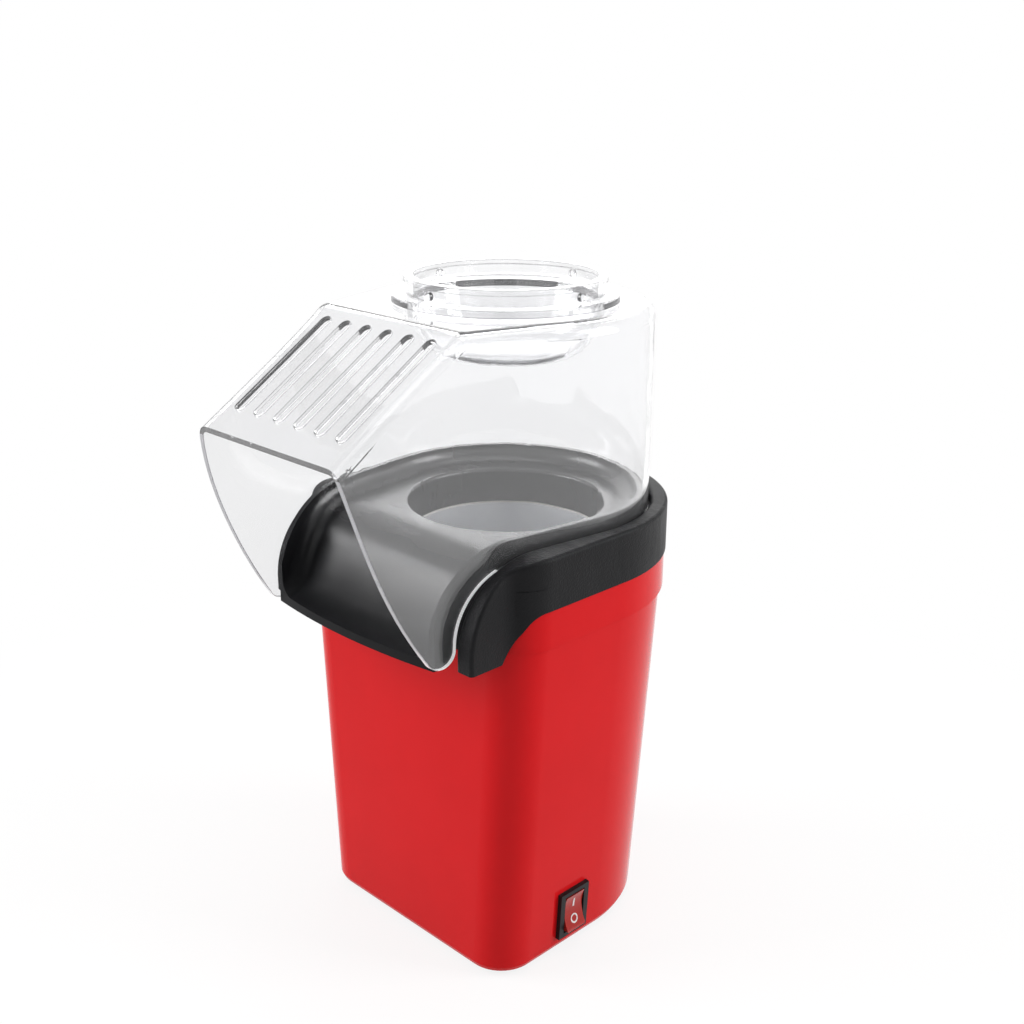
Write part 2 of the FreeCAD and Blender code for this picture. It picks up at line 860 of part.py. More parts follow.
def make_collar():
    wide = value("collar_half_width")
    front = value("arm_front")
    block = upright(collar_plan(), 2 * value("collar_top"))
    block = block.common(across(collar_side())).removeSplitter()
    inner = value("collar_inner")
    lean = value("hood_lean_ratio")
    rounded = []
    for edge in block.Edges:
        middle = edge.valueAt(0.5 * (edge.FirstParameter + edge.LastParameter))
        outside = math.hypot(middle.x, max(middle.y, 0)) > inner + lean * min(middle.y, 0)
        above = middle.z > value("ledge_level")
        ahead = middle.y < NEAR - front and middle.z > value("arm_bottom") + NEAR
        if outside and (above or ahead):
            rounded.append(edge)
    block = block.makeFillet(value("collar_round"), rounded)
    block = block.cut(upright(tapered_plan(inner, lean, 0, 2 * front), 2 * value("collar_top")))
    lip = []
    for edge in block.Edges:
        middle = edge.valueAt(0.5 * (edge.FirstParameter + edge.LastParameter))
        at_back = abs(math.hypot(middle.x, middle.y) - inner) < NEAR
        beside = inner * math.hypot(1, lean) + lean * middle.y
        at_side = middle.y < 0 and abs(abs(middle.x) - beside) < NEAR
        if (at_back or at_side) and middle.z > value("ledge_level"):
            lip.append(edge)
    block = block.makeFillet(value("collar_lip_round"), lip)
    gap = value("ledge_clearance")
    shell = housing_wire(
        value("band_half_width") + gap, value("body_front") + gap, value("body_corner") + gap, 0)
    block = block.cut(upright(shell, value("collar_level")))

    ledge_top = value("ledge_level")
    base = value("collar_level")
    wall = value("collar_wall")
    deep = value("collar_front")
    bend = value("body_corner")
    front_wall = upright(housing_wire(wide, deep, bend, base), ledge_top - base).cut(
        upright(housing_wire(inner, deep - wall, bend - wall, base), ledge_top - base))
    bite = value("wall_bite")
    thick = value("ledge_thickness")
    ledge = upright(housing_wire(inner + bite, deep - bite, bend - wall, ledge_top - thick), thick)
    ledge = ledge.cut(Part.makeCylinder(value("ledge_hole"), ledge_top))
    tight = value("band_half_width - shell_wall") - gap
    close = value("body_front - shell_wall") - gap
    thin = value("skirt_wall")
    turn = bend - value("shell_wall")
    depth = value("skirt_depth")
    skirt = upright(housing_wire(tight, close, turn, base - depth), depth + bite).cut(
        upright(housing_wire(tight - thin, close - thin, turn - thin, base - depth), depth + wall))

    hub, top_radius = tongue_side(value("hood_clearance"))
    low_radius = top_radius - value("shelf_thickness")
    back = side(wide, 0)
    band = path(
        back + side(0, hub.z + top_radius),
        side(hub.y, hub.z + top_radius),
        (arc_point(hub, top_radius, 135), side(hub.y - top_radius, hub.z)),
        side(hub.y - low_radius, hub.z),
        (arc_point(hub, low_radius, 135), side(hub.y, hub.z + low_radius)),
        back + side(0, hub.z + low_radius),
    )
    ring = upright(tapered_plan(inner + bite, lean, 0, front - bite), 2 * value("collar_top"))
    tray = tapered_plan(value("tray_radius") + gap, lean, 0, 2 * front)
    shelf = across(band).common(ring).cut(upright(tray, 2 * value("collar_top")))
    collar = block.multiFuse([front_wall, ledge, skirt, shelf]).removeSplitter()
    for spot in tray_screw_spots("0"):
        bore = Part.makeCylinder(value("screw_radius + screw_clearance"), ledge_top, spot)
        collar = collar.cut(bore)
    shaped("collar", collar)


# Chute tray
def tray_screw_spots(level):
    front, back = value("tray_front_angle"), value("tray_back_angle")
    return ring_spots("tray_boss_ring", level, (-front, back, 180 - back, 180 + front))


def chamber_screw_spots(level):
    return ring_spots("chamber_boss_ring", level, (0, 90, 180, 270))


def chute_curve(depth):
    """The tray floor in side view, sunk by a depth: crest, steep run and lip."""
    steep = math.radians(value("chute_angle"))
    easy = math.radians(value("lip_angle"))
    crest = side(-value("crest"), value("deck_level"))
    bend = value("crest_round")
    hub = crest - side(0, bend)
    brow = hub + side(-bend * math.sin(steep), bend * math.cos(steep))
    lip = side(-value("lip_reach"), value("lip_top"))
    drop = brow - lip
    turn_y = math.sin(steep) - math.sin(easy)
    turn_z = math.cos(easy) - math.cos(steep)
    matrix = turn_y * math.sin(steep) - turn_z * math.cos(steep)
    scoop = (drop.y * math.sin(steep) - drop.z * math.cos(steep)) / matrix
    foot = lip + side(scoop * turn_y, scoop * turn_z)
    pole = lip + side(-scoop * math.sin(easy), scoop * math.cos(easy))

    def on_brow(angle):
        return hub + side(-(bend - depth) * math.sin(angle), (bend - depth) * math.cos(angle))

    def on_scoop(angle):
        return pole + side((scoop + depth) * math.sin(angle), -(scoop + depth) * math.cos(angle))

    foot = foot - side(-depth * math.sin(steep), depth * math.cos(steep))
    return [
        on_brow(0),
        (on_brow(0.5 * steep), on_brow(steep)),
        foot,
        (on_scoop(0.5 * (steep + easy)), on_scoop(easy)),
    ]


def make_tray():
    radius = value("tray_radius")
    lean = value("hood_lean_ratio")
    wall = value("tray_wall")
    reach = value("lip_reach")
    bow = value("lip_bow")
    rim = value("rim_level")
    deck = value("deck_level")
    ledge = value("ledge_level")
    far = 2 * reach
    block = upright(tapered_plan(radius, lean, 0, reach, bow), 2 * rim)
    heel = value("collar_front") + 2 * value("ledge_clearance")
    shoulder = side(-value("ear_shoulder"), rim - value("ear_shoulder_drop"))
    brow = side(-value("ear_front"), rim - value("ear_front_drop"))
    ear = path(
        side(far, rim),
        side(-value("rim_front"), rim),
        (shoulder, brow),
        side(-far, brow.z),
        side(-far, value("lip_bottom")),
        side(value("lip_depth") - reach, value("lip_bottom")),
        side(-heel, ledge),
        side(far, ledge),
    )
    block = block.common(across(ear))
    inside = upright(tapered_plan(radius - wall, lean, 0, far), 2 * rim)
    floor = chute_curve(0)
    easy = math.radians(value("lip_angle"))
    run_off = floor[-1][1] - side(far * math.cos(easy), far * math.sin(easy))
    above = path(side(far, deck), *floor, run_off, side(-far, 2 * rim), side(far, 2 * rim))
    under = chute_curve(wall)
    stop = under[-1][1]
    below = path(side(far, deck - wall), *under, side(stop.y, 0), side(far, 0))
    behind = Part.makeBox(2 * far, 2 * far, 2 * far, Vector(-far, value("lip_wall") - reach, 0))
    space = inside.common(across(above)).removeSplitter()
    coves = []
    for edge in space.Edges:
        middle = edge.valueAt(0.5 * (edge.FirstParameter + edge.LastParameter))
        at_wall = abs(middle.x) + max(middle.y, 0) > 0.5 * radius
        if at_wall and middle.z < deck + NEAR and middle.y > -reach - bow:
            coves.append(edge)
    tray = block.cut(space.makeFillet(value("deck_cove"), coves))
    tray = tray.cut(inside.common(across(below)).common(behind))
    hole = value("hole_radius")
    neck_low = value("neck_bottom")
    root = deck - 0.5 * wall
    bottom = Vector(0, 0, neck_low)
    pieces = [Part.makeCylinder(hole + value("neck_wall"), root - neck_low, bottom)]
    spots = tray_screw_spots("ledge_level") + chamber_screw_spots("neck_bottom")
    for spot in spots:
        pieces.append(Part.makeCylinder(value("tray_boss_radius"), root - spot.z, spot))
    half = value("sill_half_width")
    corner = Vector(-half, wall - value("collar_front"), ledge)
    pieces.append(Part.makeBox(2 * half, wall, deck - wall - ledge, corner))
    tray = tray.multiFuse(pieces).cut(Part.makeCylinder(hole, 2 * rim)).removeSplitter()
    thread = value("screw_radius + screw_clearance")
    for spot in spots:
        tray = tray.cut(Part.makeCylinder(thread, value("screw_bite + screw_radius"), spot))
    brink = []
    for edge in tray.Edges:
        if isinstance(edge.Curve, Part.Circle) and abs(edge.Curve.Center.z - deck) < NEAR:
            if abs(edge.Curve.Radius - hole) < NEAR:
                brink.append(edge)
    tray = tray.makeFillet(value("hole_round"), brink)
    shaped("chute_tray", tray)
    spots = tray_screw_spots("ledge_level - ledge_thickness")
    screws("tray_screws", spots, "ledge_thickness + screw_bite")


# Clear hood
def hood_lean(level):
    lift = max(0, level - value("lean_start")) / value("lean_height")
    return value("hood_lean_ratio") + value("lean_extra_ratio") * lift * lift


def hood_skin(radius):
    """The hood's side walls, which lean in further towards the top of the front."""
    start = value("lean_start")
    rise = value("hood_top") - start
    levels = [value("hood_bottom - 2 * tongue_sweep"), value("hood_bottom"), start]
    levels += [start + rise / 3, start + 2 * rise / 3, start + 1.05 * rise]
    reach = value("panel_front + 3 * hood_wall")
    wires = [tapered_plan(radius, hood_lean(level), level, reach) for level in levels]
    return Part.makeLoft(wires, True, False)


def round_brim(solid, brow, slope, rounding):
    """Rounds the edges of the top and of the sloping panel, all but the nose."""
    brim = []
    for edge in solid.Edges:
        middle = edge.valueAt(0.5 * (edge.FirstParameter + edge.LastParameter))
        level = brow.z + slope * min(0, middle.y - brow.y)
        at_nose = abs(middle.x) < NEAR and middle.y < brow.y - NEAR
        if abs(middle.z - level) < NEAR and not at_nose:
            brim.append(edge)
    return solid.makeFillet(rounding, brim)


def make_hood():
    radius = value("hood_radius")
    wall = value("hood_wall")
    top = value("hood_top")
    back = 2 * radius
    brow = side(-value("panel_top"), top)
    nose = side(-value("panel_front"), value("panel_low"))
    hub, sweep = tongue_side(0)
    tip = value("tongue_tip")
    root = side(hub.y - sweep, hub.z)
    tip_hub = root - side(tip, 0)
    turn = value("tongue_turn_angle")
    tip_end = arc_point(tip_hub, tip, 360 - turn)
    bulge = side(-value("front_bulge_reach"), value("front_bulge_level"))
    outline = path(
        side(back, top),
        brow,
        nose,
        (bulge, tip_end),
        (arc_point(tip_hub, tip, 360 - 0.5 * turn), root),
        (arc_point(hub, sweep, 135), side(hub.y, hub.z + sweep)),
        side(back, hub.z + sweep),
    )
    slope = (top - nose.z) / (brow.y - nose.y)
    sink = wall * math.hypot(1, slope)
    inner_brow = side(brow.y + (sink - wall) / slope, top - wall)
    far = 2 * nose.y
    inner = path(
        side(back, top - wall),
        inner_brow,
        side(far, inner_brow.z + slope * (far - inner_brow.y)),
        side(far, -back),
        side(back, -back),
    )
    outer_round = value("hood_round")
    solid = round_brim(hood_skin(radius).common(across(outline)), brow, slope, outer_round)
    space = hood_skin(radius - wall).common(across(inner))
    space = round_brim(space, inner_brow, slope, outer_round - wall)
    hood = solid.cut(space)
    low = Vector(0, 0, top - 0.5 * wall)
    ring = Part.makeCylinder(value("ring_radius"), value("ring_height") + 0.5 * wall, low)
    hood = hood.fuse(ring).cut(Part.makeCylinder(value("ring_bore"), 2 * top))

    middle = 0.5 * (value("slot_count") - 1)
    half = 0.5 * value("slot_width")
    tilt = math.degrees(math.atan(slope))
    start = side(-value("slot_start"), top + slope * (value("panel_top") - value("slot_start")))
    run = (value("slot_end") - value("slot_start")) * math.hypot(1, slope) - 2 * half
    deep = -3 * wall
    slot = upright(path(
        Vector(half, -half, deep),
        (Vector(0, 0, deep), Vector(-half, -half, deep)),
        Vector(-half, -half - run, deep),
        (Vector(0, -2 * half - run, deep), Vector(half, -half - run, deep)),
        Vector(half, -half, deep),
    ), -2 * deep)
    cuts = []
    for index in range(int(value("slot_count"))):
        copy = slot.copy()
        shift = Vector((index - middle) * value("slot_pitch"), start.y, start.z)
        copy.Placement = Placement(shift, Rotation(Vector(1, 0, 0), tilt))
        cuts.append(copy)
    hood = hood.cut(Part.makeCompound(cuts)).removeSplitter()
    shaped("hood", hood)


# Measuring cup that closes the hood
def make_cup():
    body = turned("measuring_cup", [
        ("0", "cup_bottom"),
        ("cup_low_radius", "cup_bottom", "cup_round"),
        ("cup_radius", "cup_seat"),
        ("cup_band_radius", "cup_seat"),
        ("cup_band_radius", "cup_top - cup_rim_height"),
        ("cup_rim_radius", "cup_top - cup_rim_height"),
        ("cup_rim_radius", "cup_top"),
        ("cup_radius - cup_wall", "cup_top"),
        ("cup_radius - cup_wall", "cup_seat"),
        ("cup_low_radius - cup_wall", "cup_bottom + cup_wall", "cup_round - cup_wall"),
        ("0", "cup_bottom + cup_wall"),
    ])
    lug = new_sketch(body, "lug", "YZ_Plane", "cup_band_radius - 0.5 * cup_wall")
    draw_circle(lug, "0", "0.5 * (cup_seat + cup_top - cup_rim_height)", "cup_lug_radius")
    first = pad(body, "lug_pad", lug, "cup_lug_length + 0.5 * cup_wall")
    doc.recompute()
    around(body, "lug_ring", first, "cup_lug_count")


# Popping chamber, heater and air duct
def draw_ring_holes(sketch, ring):
    """Four screw holes on a ring, one on each half axis."""
    for x, y in (("1", "0"), ("0", "1"), ("-1", "0"), ("0", "-1")):
        draw_circle(sketch, f"{x} * {ring}", f"{y} * {ring}", "screw_radius + screw_clearance")


def make_chamber():
    inner = "chamber_radius"
    outer = "(chamber_radius + chamber_wall)"
    body = turned("popping_chamber", [
        ("0", "chamber_floor - chamber_wall"),
        (outer, "chamber_floor - chamber_wall", "chamber_round + chamber_wall"),
        (outer, "flange_top - chamber_wall"),
        ("chamber_flange", "flange_top - chamber_wall"),
        ("chamber_flange", "flange_top"),
        (inner, "flange_top"),
        (inner, "chamber_floor", "chamber_round"),
        ("0", "chamber_floor"),
    ])
    slit = new_sketch(body, "louvre", "YZ_Plane", f"{inner} - 3 * chamber_wall")
    half_wide = "0.5 * louvre_width"
    slant = "0.5 * louvre_height * tan(louvre_angle)"
    low = "(chamber_floor + louvre_rise)"
    draw_polygon(slit, [
        (f"-{slant} - {half_wide}", low),
        (f"-{slant} + {half_wide}", low),
        (f"{slant} + {half_wide}", f"{low} + louvre_height"),
        (f"{slant} - {half_wide}", f"{low} + louvre_height"),
    ])
    first = pocket(body, "louvre_cut", slit, "8 * chamber_wall", turned_round=True)
    around(body, "louvre_ring", first, "louvre_count")
    holes = new_sketch(body, "flange_holes", "XY_Plane", "flange_top")
    draw_ring_holes(holes, "chamber_boss_ring")
    pocket(body, "flange_hole_cut", holes, "chamber_wall")
    gasket = turned("chamber_gasket", [
        (outer, "flange_top"),
        ("chamber_flange", "flange_top"),
        ("chamber_flange", "neck_bottom"),
        (outer, "neck_bottom"),
    ])
    holes = new_sketch(gasket, "gasket_holes", "XY_Plane", "neck_bottom")
    draw_ring_holes(holes, "chamber_boss_ring")
    pocket(gasket, "gasket_hole_cut", holes, "gasket_thickness")
    length = "chamber_wall + gasket_thickness + screw_bite"
    screws("chamber_screws", chamber_screw_spots("flange_top - chamber_wall"), length)


def make_duct():
    outer = "(duct_radius + duct_wall)"
    throat = "chamber_radius + chamber_wall"
    duct = turned("heater_duct", [
        ("duct_radius", "duct_bottom"),
        ("duct_flange", "duct_bottom"),
        ("duct_flange", "duct_bottom + duct_wall"),
        (outer, "duct_bottom + duct_wall"),
        (outer, "duct_top"),
        (throat, "duct_top"),
        (throat, "duct_top - duct_wall"),
        ("duct_radius", "duct_top - duct_wall"),
    ])
    holes = new_sketch(duct, "duct_holes", "XY_Plane", "duct_bottom + duct_wall")
    draw_ring_holes(holes, "duct_screw_ring")
    pocket(duct, "duct_hole_cut", holes, "duct_wall")
    length = "2 * (duct_radius - ledge_clearance)"
    height = "mica_top - duct_bottom"
    half = "0.5 * mica_thickness"
    level = "duct_bottom"
    near = "-(duct_radius - ledge_clearance)"
    card = box("mica_card", length, "mica_thickness", height, near, f"-{half}", level)
    rest = box("mica_cross_card", "mica_thickness", length, height, f"-{half}", near, level)
    keep(fused("mica_cross", card, rest), "mica_frame")
    shaped("heater_coil", spiral())
    lean = "thermostat_radius"
    top = "chamber_floor - chamber_wall - thermostat_height"
    disc = cylinder("thermostat_disc", lean, "thermostat_height", z=top)
    short = "0.6 * thermostat_height"
    neck = cylinder("thermostat_neck", f"0.7 * {lean}", short, z=f"{top} - {short}")
    keep(fused("thermostat_body", disc, neck), "thermostat")
    link = cylinder(
        "fuse_link", "fuse_radius", "fuse_length",
        "0.5 * duct_radius", f"{half} + fuse_radius", "mica_top - fuse_length - mica_thickness",
    )
    keep(link, "thermal_fuse")


def spiral():
    """The heating coil as one tube along half turns that grow outwards."""
    step = 0.5 * value("coil_pitch")
    level = value("coil_level")
    radius = value("coil_start")
    centre = 0
    edges = []
    here = Vector(radius, 0, level)
    for half_turn in range(2 * int(value("coil_turns"))):
        hand = 1 if half_turn % 2 == 0 else -1
        middle = Vector(centre, hand * radius, level)
        end = Vector(centre - hand * radius, 0, level)
        edges.append(Part.Arc(here, middle, end).toShape())
        here = end
        radius += step
        centre += hand * step
    wire = Part.Wire(edges)
    section = Part.Wire([Part.makeCircle(
        0.5 * value("coil_wire"), Vector(value("coil_start"), 0, level), Vector(0, 1, 0))])
    print("heating coil, least gap between turns", value("coil_pitch - coil_wire"))
    return wire.makePipeShell([section], True, False)


# Fan and motor
def make_fan():
    floor = "fan_floor_level"
    deck = "(fan_floor_level + fan_floor_thickness)"
    body = turned("fan_housing", [
        ("fan_eye", floor),
        ("fan_throat + fan_wall", floor),
        ("duct_radius + fan_wall", "duct_bottom - fan_wall"),
        ("duct_flange", "duct_bottom - fan_wall"),
        ("duct_flange", "duct_bottom"),
        ("duct_radius - duct_ledge", "duct_bottom"),
        ("fan_throat", deck),
        ("fan_eye", deck),
    ])
    window = new_sketch(body, "air_window", "XY_Plane", deck)
    half = "0.5 * fan_arm_width"
    draw_polygon(window, [
        ("fan_intake_inner", half),
        ("fan_intake_outer", half),
        (half, "fan_intake_outer"),
        (half, "fan_intake_inner"),
    ])
    first = pocket(body, "air_window_cut", window, "fan_floor_thickness")
    around(body, "air_windows", first, "fan_intake_count")
    holes = new_sketch(body, "flange_holes_low", "XY_Plane", "duct_bottom")
    draw_ring_holes(holes, "duct_screw_ring")
    pocket(body, "flange_hole_low_cut", holes, "fan_wall")
    holes = new_sketch(body, "motor_holes", "XY_Plane", deck)
    for hand in ("1", "-1"):
        draw_circle(holes, f"{hand} * motor_screw_ring", "0", "screw_radius + screw_clearance")
    pocket(body, "motor_hole_cut", holes, "fan_floor_thickness")
    spots = ring_spots("duct_screw_ring", "duct_bottom - fan_wall", (0, 90, 180, 270))
    screws("duct_screws", spots, "fan_wall + duct_wall + screw_radius")
    spots = ring_spots("motor_screw_ring", deck, (0, 180))
    length = "fan_floor_thickness + motor_wall + screw_radius"
    screws("motor_screws", spots, length, pointing_down=True)
    fan = turned("fan_impeller", [
        ("shaft_radius", "fan_plate_level"),
        ("fan_radius", "fan_plate_level"),
        ("fan_radius", "fan_plate_level + fan_plate"),
        ("fan_hub", "fan_plate_level + fan_plate"),
        ("fan_hub", "fan_top"),
        ("shaft_radius", "fan_top"),
    ])
    blade = new_sketch(fan, "blade", "XY_Plane", "fan_plate_level + fan_plate")
    thick = "0.5 * fan_blade_width"
    draw_polygon(blade, [
        ("fan_hub - fan_blade_width", f"-{thick}"),
        ("fan_radius - fan_blade_width", f"-fan_blade_sweep - {thick}"),
        ("fan_radius - fan_blade_width", f"-fan_blade_sweep + {thick}"),
        ("fan_hub - fan_blade_width", thick),
    ])
    first = pad(fan, "blade_pad", blade, "fan_blade_height")
    doc.recompute()
    around(fan, "blades", first, "fan_blade_count")


def make_motor():
    inside = "(motor_radius - motor_wall)"
    bush = "bush_radius"
    can = turned("motor_can", [
        (inside, "motor_bottom + end_cap_thickness"),
        ("motor_radius", "motor_bottom + end_cap_thickness"),
        ("motor_radius", "motor_top"),
        (bush, "motor_top"),
        (bush, "motor_top - motor_wall"),
        (inside, "motor_top - motor_wall"),
    ])
    holes = new_sketch(can, "can_holes", "XY_Plane", "motor_top")
    for hand in ("1", "-1"):
        draw_circle(holes, f"{hand} * motor_screw_ring", "0", "screw_radius + screw_clearance")
    pocket(can, "can_hole_cut", holes, "motor_wall")
    turned("motor_end_cap", [
        (bush, "motor_bottom"),
        ("motor_radius", "motor_bottom"),
        ("motor_radius", "motor_bottom + end_cap_thickness"),
        (bush, "motor_bottom + end_cap_thickness"),
    ])
    bushes = []
    for name, level, height in (
        ("front_bush", "motor_top - motor_neck_height", "2 * motor_neck_height"),
        ("rear_bush", "motor_bottom", "end_cap_thickness"),
    ):
        solid = cylinder(name + "_solid", bush, height, z=level)
        bore = cylinder(name + "_bore", "shaft_radius + shaft_fit", height, z=level)
        bushes.append(cut(name, solid, bore))
    group("motor_bushes", bushes)
    magnets = []
    length = "armature_length + 2 * magnet_overhang"
    low = "armature_low - magnet_overhang"
    for name, hand in (("north", 1), ("south", -1)):
        tube = cut(
            name + "_tube",
            cylinder(name + "_outside", "magnet_outer", length, z=low),
            cylinder(name + "_inside", "magnet_inner", length, z=low),
        )
        half = box(
            name + "_half", "motor_radius", "2 * motor_radius", length,
            "0.5 * magnet_gap" if hand > 0 else "-0.5 * magnet_gap - motor_radius",
            "-motor_radius", low,
        )
        magnet = doc.addObject("Part::Common", name + "_magnet")
        magnet.Base = tube
        magnet.Tool = half
        magnets.append(magnet)
    group("motor_magnets", magnets)
    core = cylinder("armature_core", "armature_radius", "armature_length", z="armature_low")
    low = "armature_low - commutator_length"
    brush_ring = cylinder("commutator", "commutator_radius", "commutator_length", z=low)
    solid = fused("armature_solid", core, brush_ring)
    length = "armature_length + commutator_length"
    bore = cylinder("armature_bore", "shaft_radius", length, z=low)
    keep(cut("armature", solid, bore), "motor_armature")
    length = "fan_top - motor_bottom - shaft_fit"
    shaft = cylinder("shaft", "shaft_radius", length, z="motor_bottom + shaft_fit")
    keep(shaft, "motor_shaft")
    board = cylinder("board", "board_radius", "board_thickness", z="board_low")
    pins = [
        cylinder(f"board_pin_{index}", "pin_radius", "board_gap", x=x, z="motor_bottom - board_gap")
        for index, x in enumerate(("0.5 * board_radius", "-0.5 * board_radius"))
    ]
    keep(fused("board_solid", board, *pins), "rectifier_board")
    diodes = []
    for index, (x, y) in enumerate((("1", "1"), ("-1", "1"), ("1", "-1"), ("-1", "-1"))):
        item = cylinder(
            f"diode_{index}", "diode_radius", "diode_length",
            f"{x} * diode_spread - 0.5 * diode_length", f"{y} * diode_spread",
            "board_low - diode_radius",
        )
        item.Placement = Placement(Vector(), Rotation(Vector(0, 1, 0), 90))
        diodes.append(item)
    group("rectifier_diodes", diodes)


# Rocker switch in the leaning side wall
def switch_frame():
    """Placement with X across the wall, Y up the wall and Z out of it."""
    lean = math.atan(value("shell_flare / shell_rise"))
    out = Vector(math.cos(lean), 0, -math.sin(lean))
    up = Vector(math.sin(lean), 0, math.cos(lean))
    across_wall = value(wall_half_width("switch_level"))
    origin = Vector(across_wall, -value("switch_forward"), value("switch_level"))
    return Placement(origin, Rotation(Vector(0, 1, 0), up, out, "ZXY"))


def block_at(name, wide, high, low, top):
    return box(name, wide, high, f"({top}) - ({low})", f"-0.5 * ({wide})", f"-0.5 * ({high})", low)


def make_switch():
    here = switch_frame()
    bezel = block_at("bezel", "switch_wide", "switch_high", "0", "bezel_thickness")
    can = block_at("switch_can", "switch_body_wide", "switch_body_high", "-switch_depth", "0")
    well = block_at(
        "rocker_well", "rocker_wide + rocker_clearance", "rocker_high + 2 * rocker_clearance",
        "-rocker_drop - 2 * rocker_clearance", "2 * bezel_thickness",
    )
    pin_hole = cylinder(
        "pin_hole", "pivot_radius + 2 * shaft_fit", "pin_span + pin_play",
        x="-0.5 * (pin_span + pin_play)", z="-pivot_depth",
    )
    pin_hole.Placement = Placement(Vector(), Rotation(Vector(0, 1, 0), 90))
    solid = fused("switch_solid", bezel, can)
    housing = cut("switch_hollow", solid, fused("switch_space", well, pin_hole))
    housing.Placement = here
    keep(housing, "switch_housing")

    half = value("0.5 * rocker_high")
    proud = value("bezel_thickness + rocker_proud")
    drop = value("rocker_drop")
    draft = value("rocker_draft")
    dip = proud - value("rocker_dip")
    outline = path(
        side(draft - half, -drop),
        side(-half, proud),
        (side(0, dip), side(half, proud)),
        side(half - draft, -drop),
    )
    wide = value("rocker_wide")
    face = Part.Face(outline)
    face.translate(Vector(-0.5 * wide, 0, 0))
    rocker = face.extrude(Vector(wide, 0, 0))
    pivot = Vector(0, 0, -value("pivot_depth"))
    span = value("pin_span")
    start = pivot - Vector(0.5 * span, 0, 0)
    pin = Part.makeCylinder(value("pivot_radius"), span, start, Vector(1, 0, 0))
    rocker.rotate(pivot, Vector(1, 0, 0), -value("rocker_angle"))
    shaped("rocker_button", rocker.fuse(pin)).Placement = here

    blades = []
    for index, place_on_row in enumerate((-1, 0, 1)):
        blade = box(
            f"blade_{index}", "blade_wide", "blade_thickness", "blade_length",
            "-0.5 * blade_wide", f"{place_on_row} * blade_pitch - 0.5 * blade_thickness",
            "-switch_depth - blade_length",
        )
        blades.append(blade)
    group("switch_terminals", blades).Placement = here


def make_gland():
    body = turned("cord_gland", [
        ("gland_bore", "-gland_length"),
        ("gland_radius", "-gland_length"),
        ("gland_radius", "0"),
        ("gland_flange", "0"),
        ("gland_flange", "gland_flange_thickness"),
        ("gland_bore", "gland_flange_thickness"),
    ])
    wall = value(wall_half_width("gland_level"))
    lean = math.degrees(math.atan(value("shell_flare / shell_rise")))
    turn = Rotation(Vector(1, 0, 0), -90 - lean)
    body.Placement = Placement(Vector(0, wall, value("gland_level")), turn)


def write_out():
    doc.recompute()
    for item in doc.Objects:
        if "Invalid" in item.State or "Error" in item.State:
            raise RuntimeError(f"{item.Label} failed: {item.State}")
    os.makedirs("parts", exist_ok=True)
    for item in nodes:
        if item.Shape.isNull() or not item.Shape.isValid():
            raise RuntimeError(f"{item.Label} has no valid shape")
        shape = item.Shape.copy()
        shape.translate(Vector(0, value("frame_shift"), 0))
        shape.exportStep(f"parts/{item.Label}.step")
    print(len(nodes), "pieces written")


fill_sheet()
make_housing()
make_base()
make_collar()
make_tray()
make_hood()
make_cup()
make_chamber()
make_duct()
make_fan()
make_motor()
make_switch()
make_gland()
write_out()
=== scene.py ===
# %% [markdown]
# # A hot-air popcorn maker, dressed for its picture
# The solids of the popper come in as a fixed frame: every piece is already at its
# size and place, in metres, with the table at z = 0 and the chute towards -Y.
# This lesson gives the frame its camera, its light, its finishes and its small marks.

# %% Load the frame and keep its box
import math

import bpy
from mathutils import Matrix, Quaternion, Vector


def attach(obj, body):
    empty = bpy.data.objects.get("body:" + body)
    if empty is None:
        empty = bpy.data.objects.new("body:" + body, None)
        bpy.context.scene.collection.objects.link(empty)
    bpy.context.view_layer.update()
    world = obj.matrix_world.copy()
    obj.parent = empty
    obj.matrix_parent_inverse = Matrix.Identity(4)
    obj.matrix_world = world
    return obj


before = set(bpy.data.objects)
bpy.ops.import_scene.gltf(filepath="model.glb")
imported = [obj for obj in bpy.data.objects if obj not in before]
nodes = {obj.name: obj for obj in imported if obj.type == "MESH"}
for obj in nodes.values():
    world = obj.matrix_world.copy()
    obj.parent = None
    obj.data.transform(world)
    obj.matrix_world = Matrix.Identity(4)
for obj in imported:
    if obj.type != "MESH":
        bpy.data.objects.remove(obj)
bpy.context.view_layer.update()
bpy.ops.object.select_all(action="DESELECT")

# %% [markdown]
# ## The camera
# The picture is taken from the front right corner, a little above the hood, with a
# normal lens. The place and the three angles were worked out from edges whose size
# is known, so the render lines up with the picture without any shift of the lens.

# %% Camera
LENS_MM = 47.5
SENSOR_MM = 36.0
CAMERA_PLACE = Vector((0.3793, -0.3497, 0.3598))
CAMERA_TURN = math.radians(45.0)
CAMERA_DOWN = math.radians(19.06)
CAMERA_ROLL = math.radians(0.29)
CLIP_START = 0.01

looking = Vector((
    -math.sin(CAMERA_TURN) * math.cos(CAMERA_DOWN),
    math.cos(CAMERA_TURN) * math.cos(CAMERA_DOWN),
    -math.sin(CAMERA_DOWN),
))
bpy.ops.object.camera_add(location=CAMERA_PLACE)
camera = bpy.context.object
camera.name = "picture_camera"
camera.rotation_mode = "QUATERNION"
level_view = looking.to_track_quat("-Z", "Y")
camera.rotation_quaternion = level_view @ Quaternion((0, 0, 1), CAMERA_ROLL)
camera.data.lens = LENS_MM
camera.data.sensor_width = SENSOR_MM
camera.data.clip_start = CLIP_START
bpy.context.scene.camera = camera
print("camera looks along", [round(x, 3) for x in looking])

# %% [markdown]
# ## The paper floor
# A catalogue picture stands on white paper. A plain lit floor would come out grey, and
# more light would bleach the popper. So the paper shines a little by itself, to the eye,
# to gloss and to glass, and keeps a lit share near the popper, which takes the shadow.

# %% Floor
bpy.context.scene.view_settings.view_transform = "Standard"

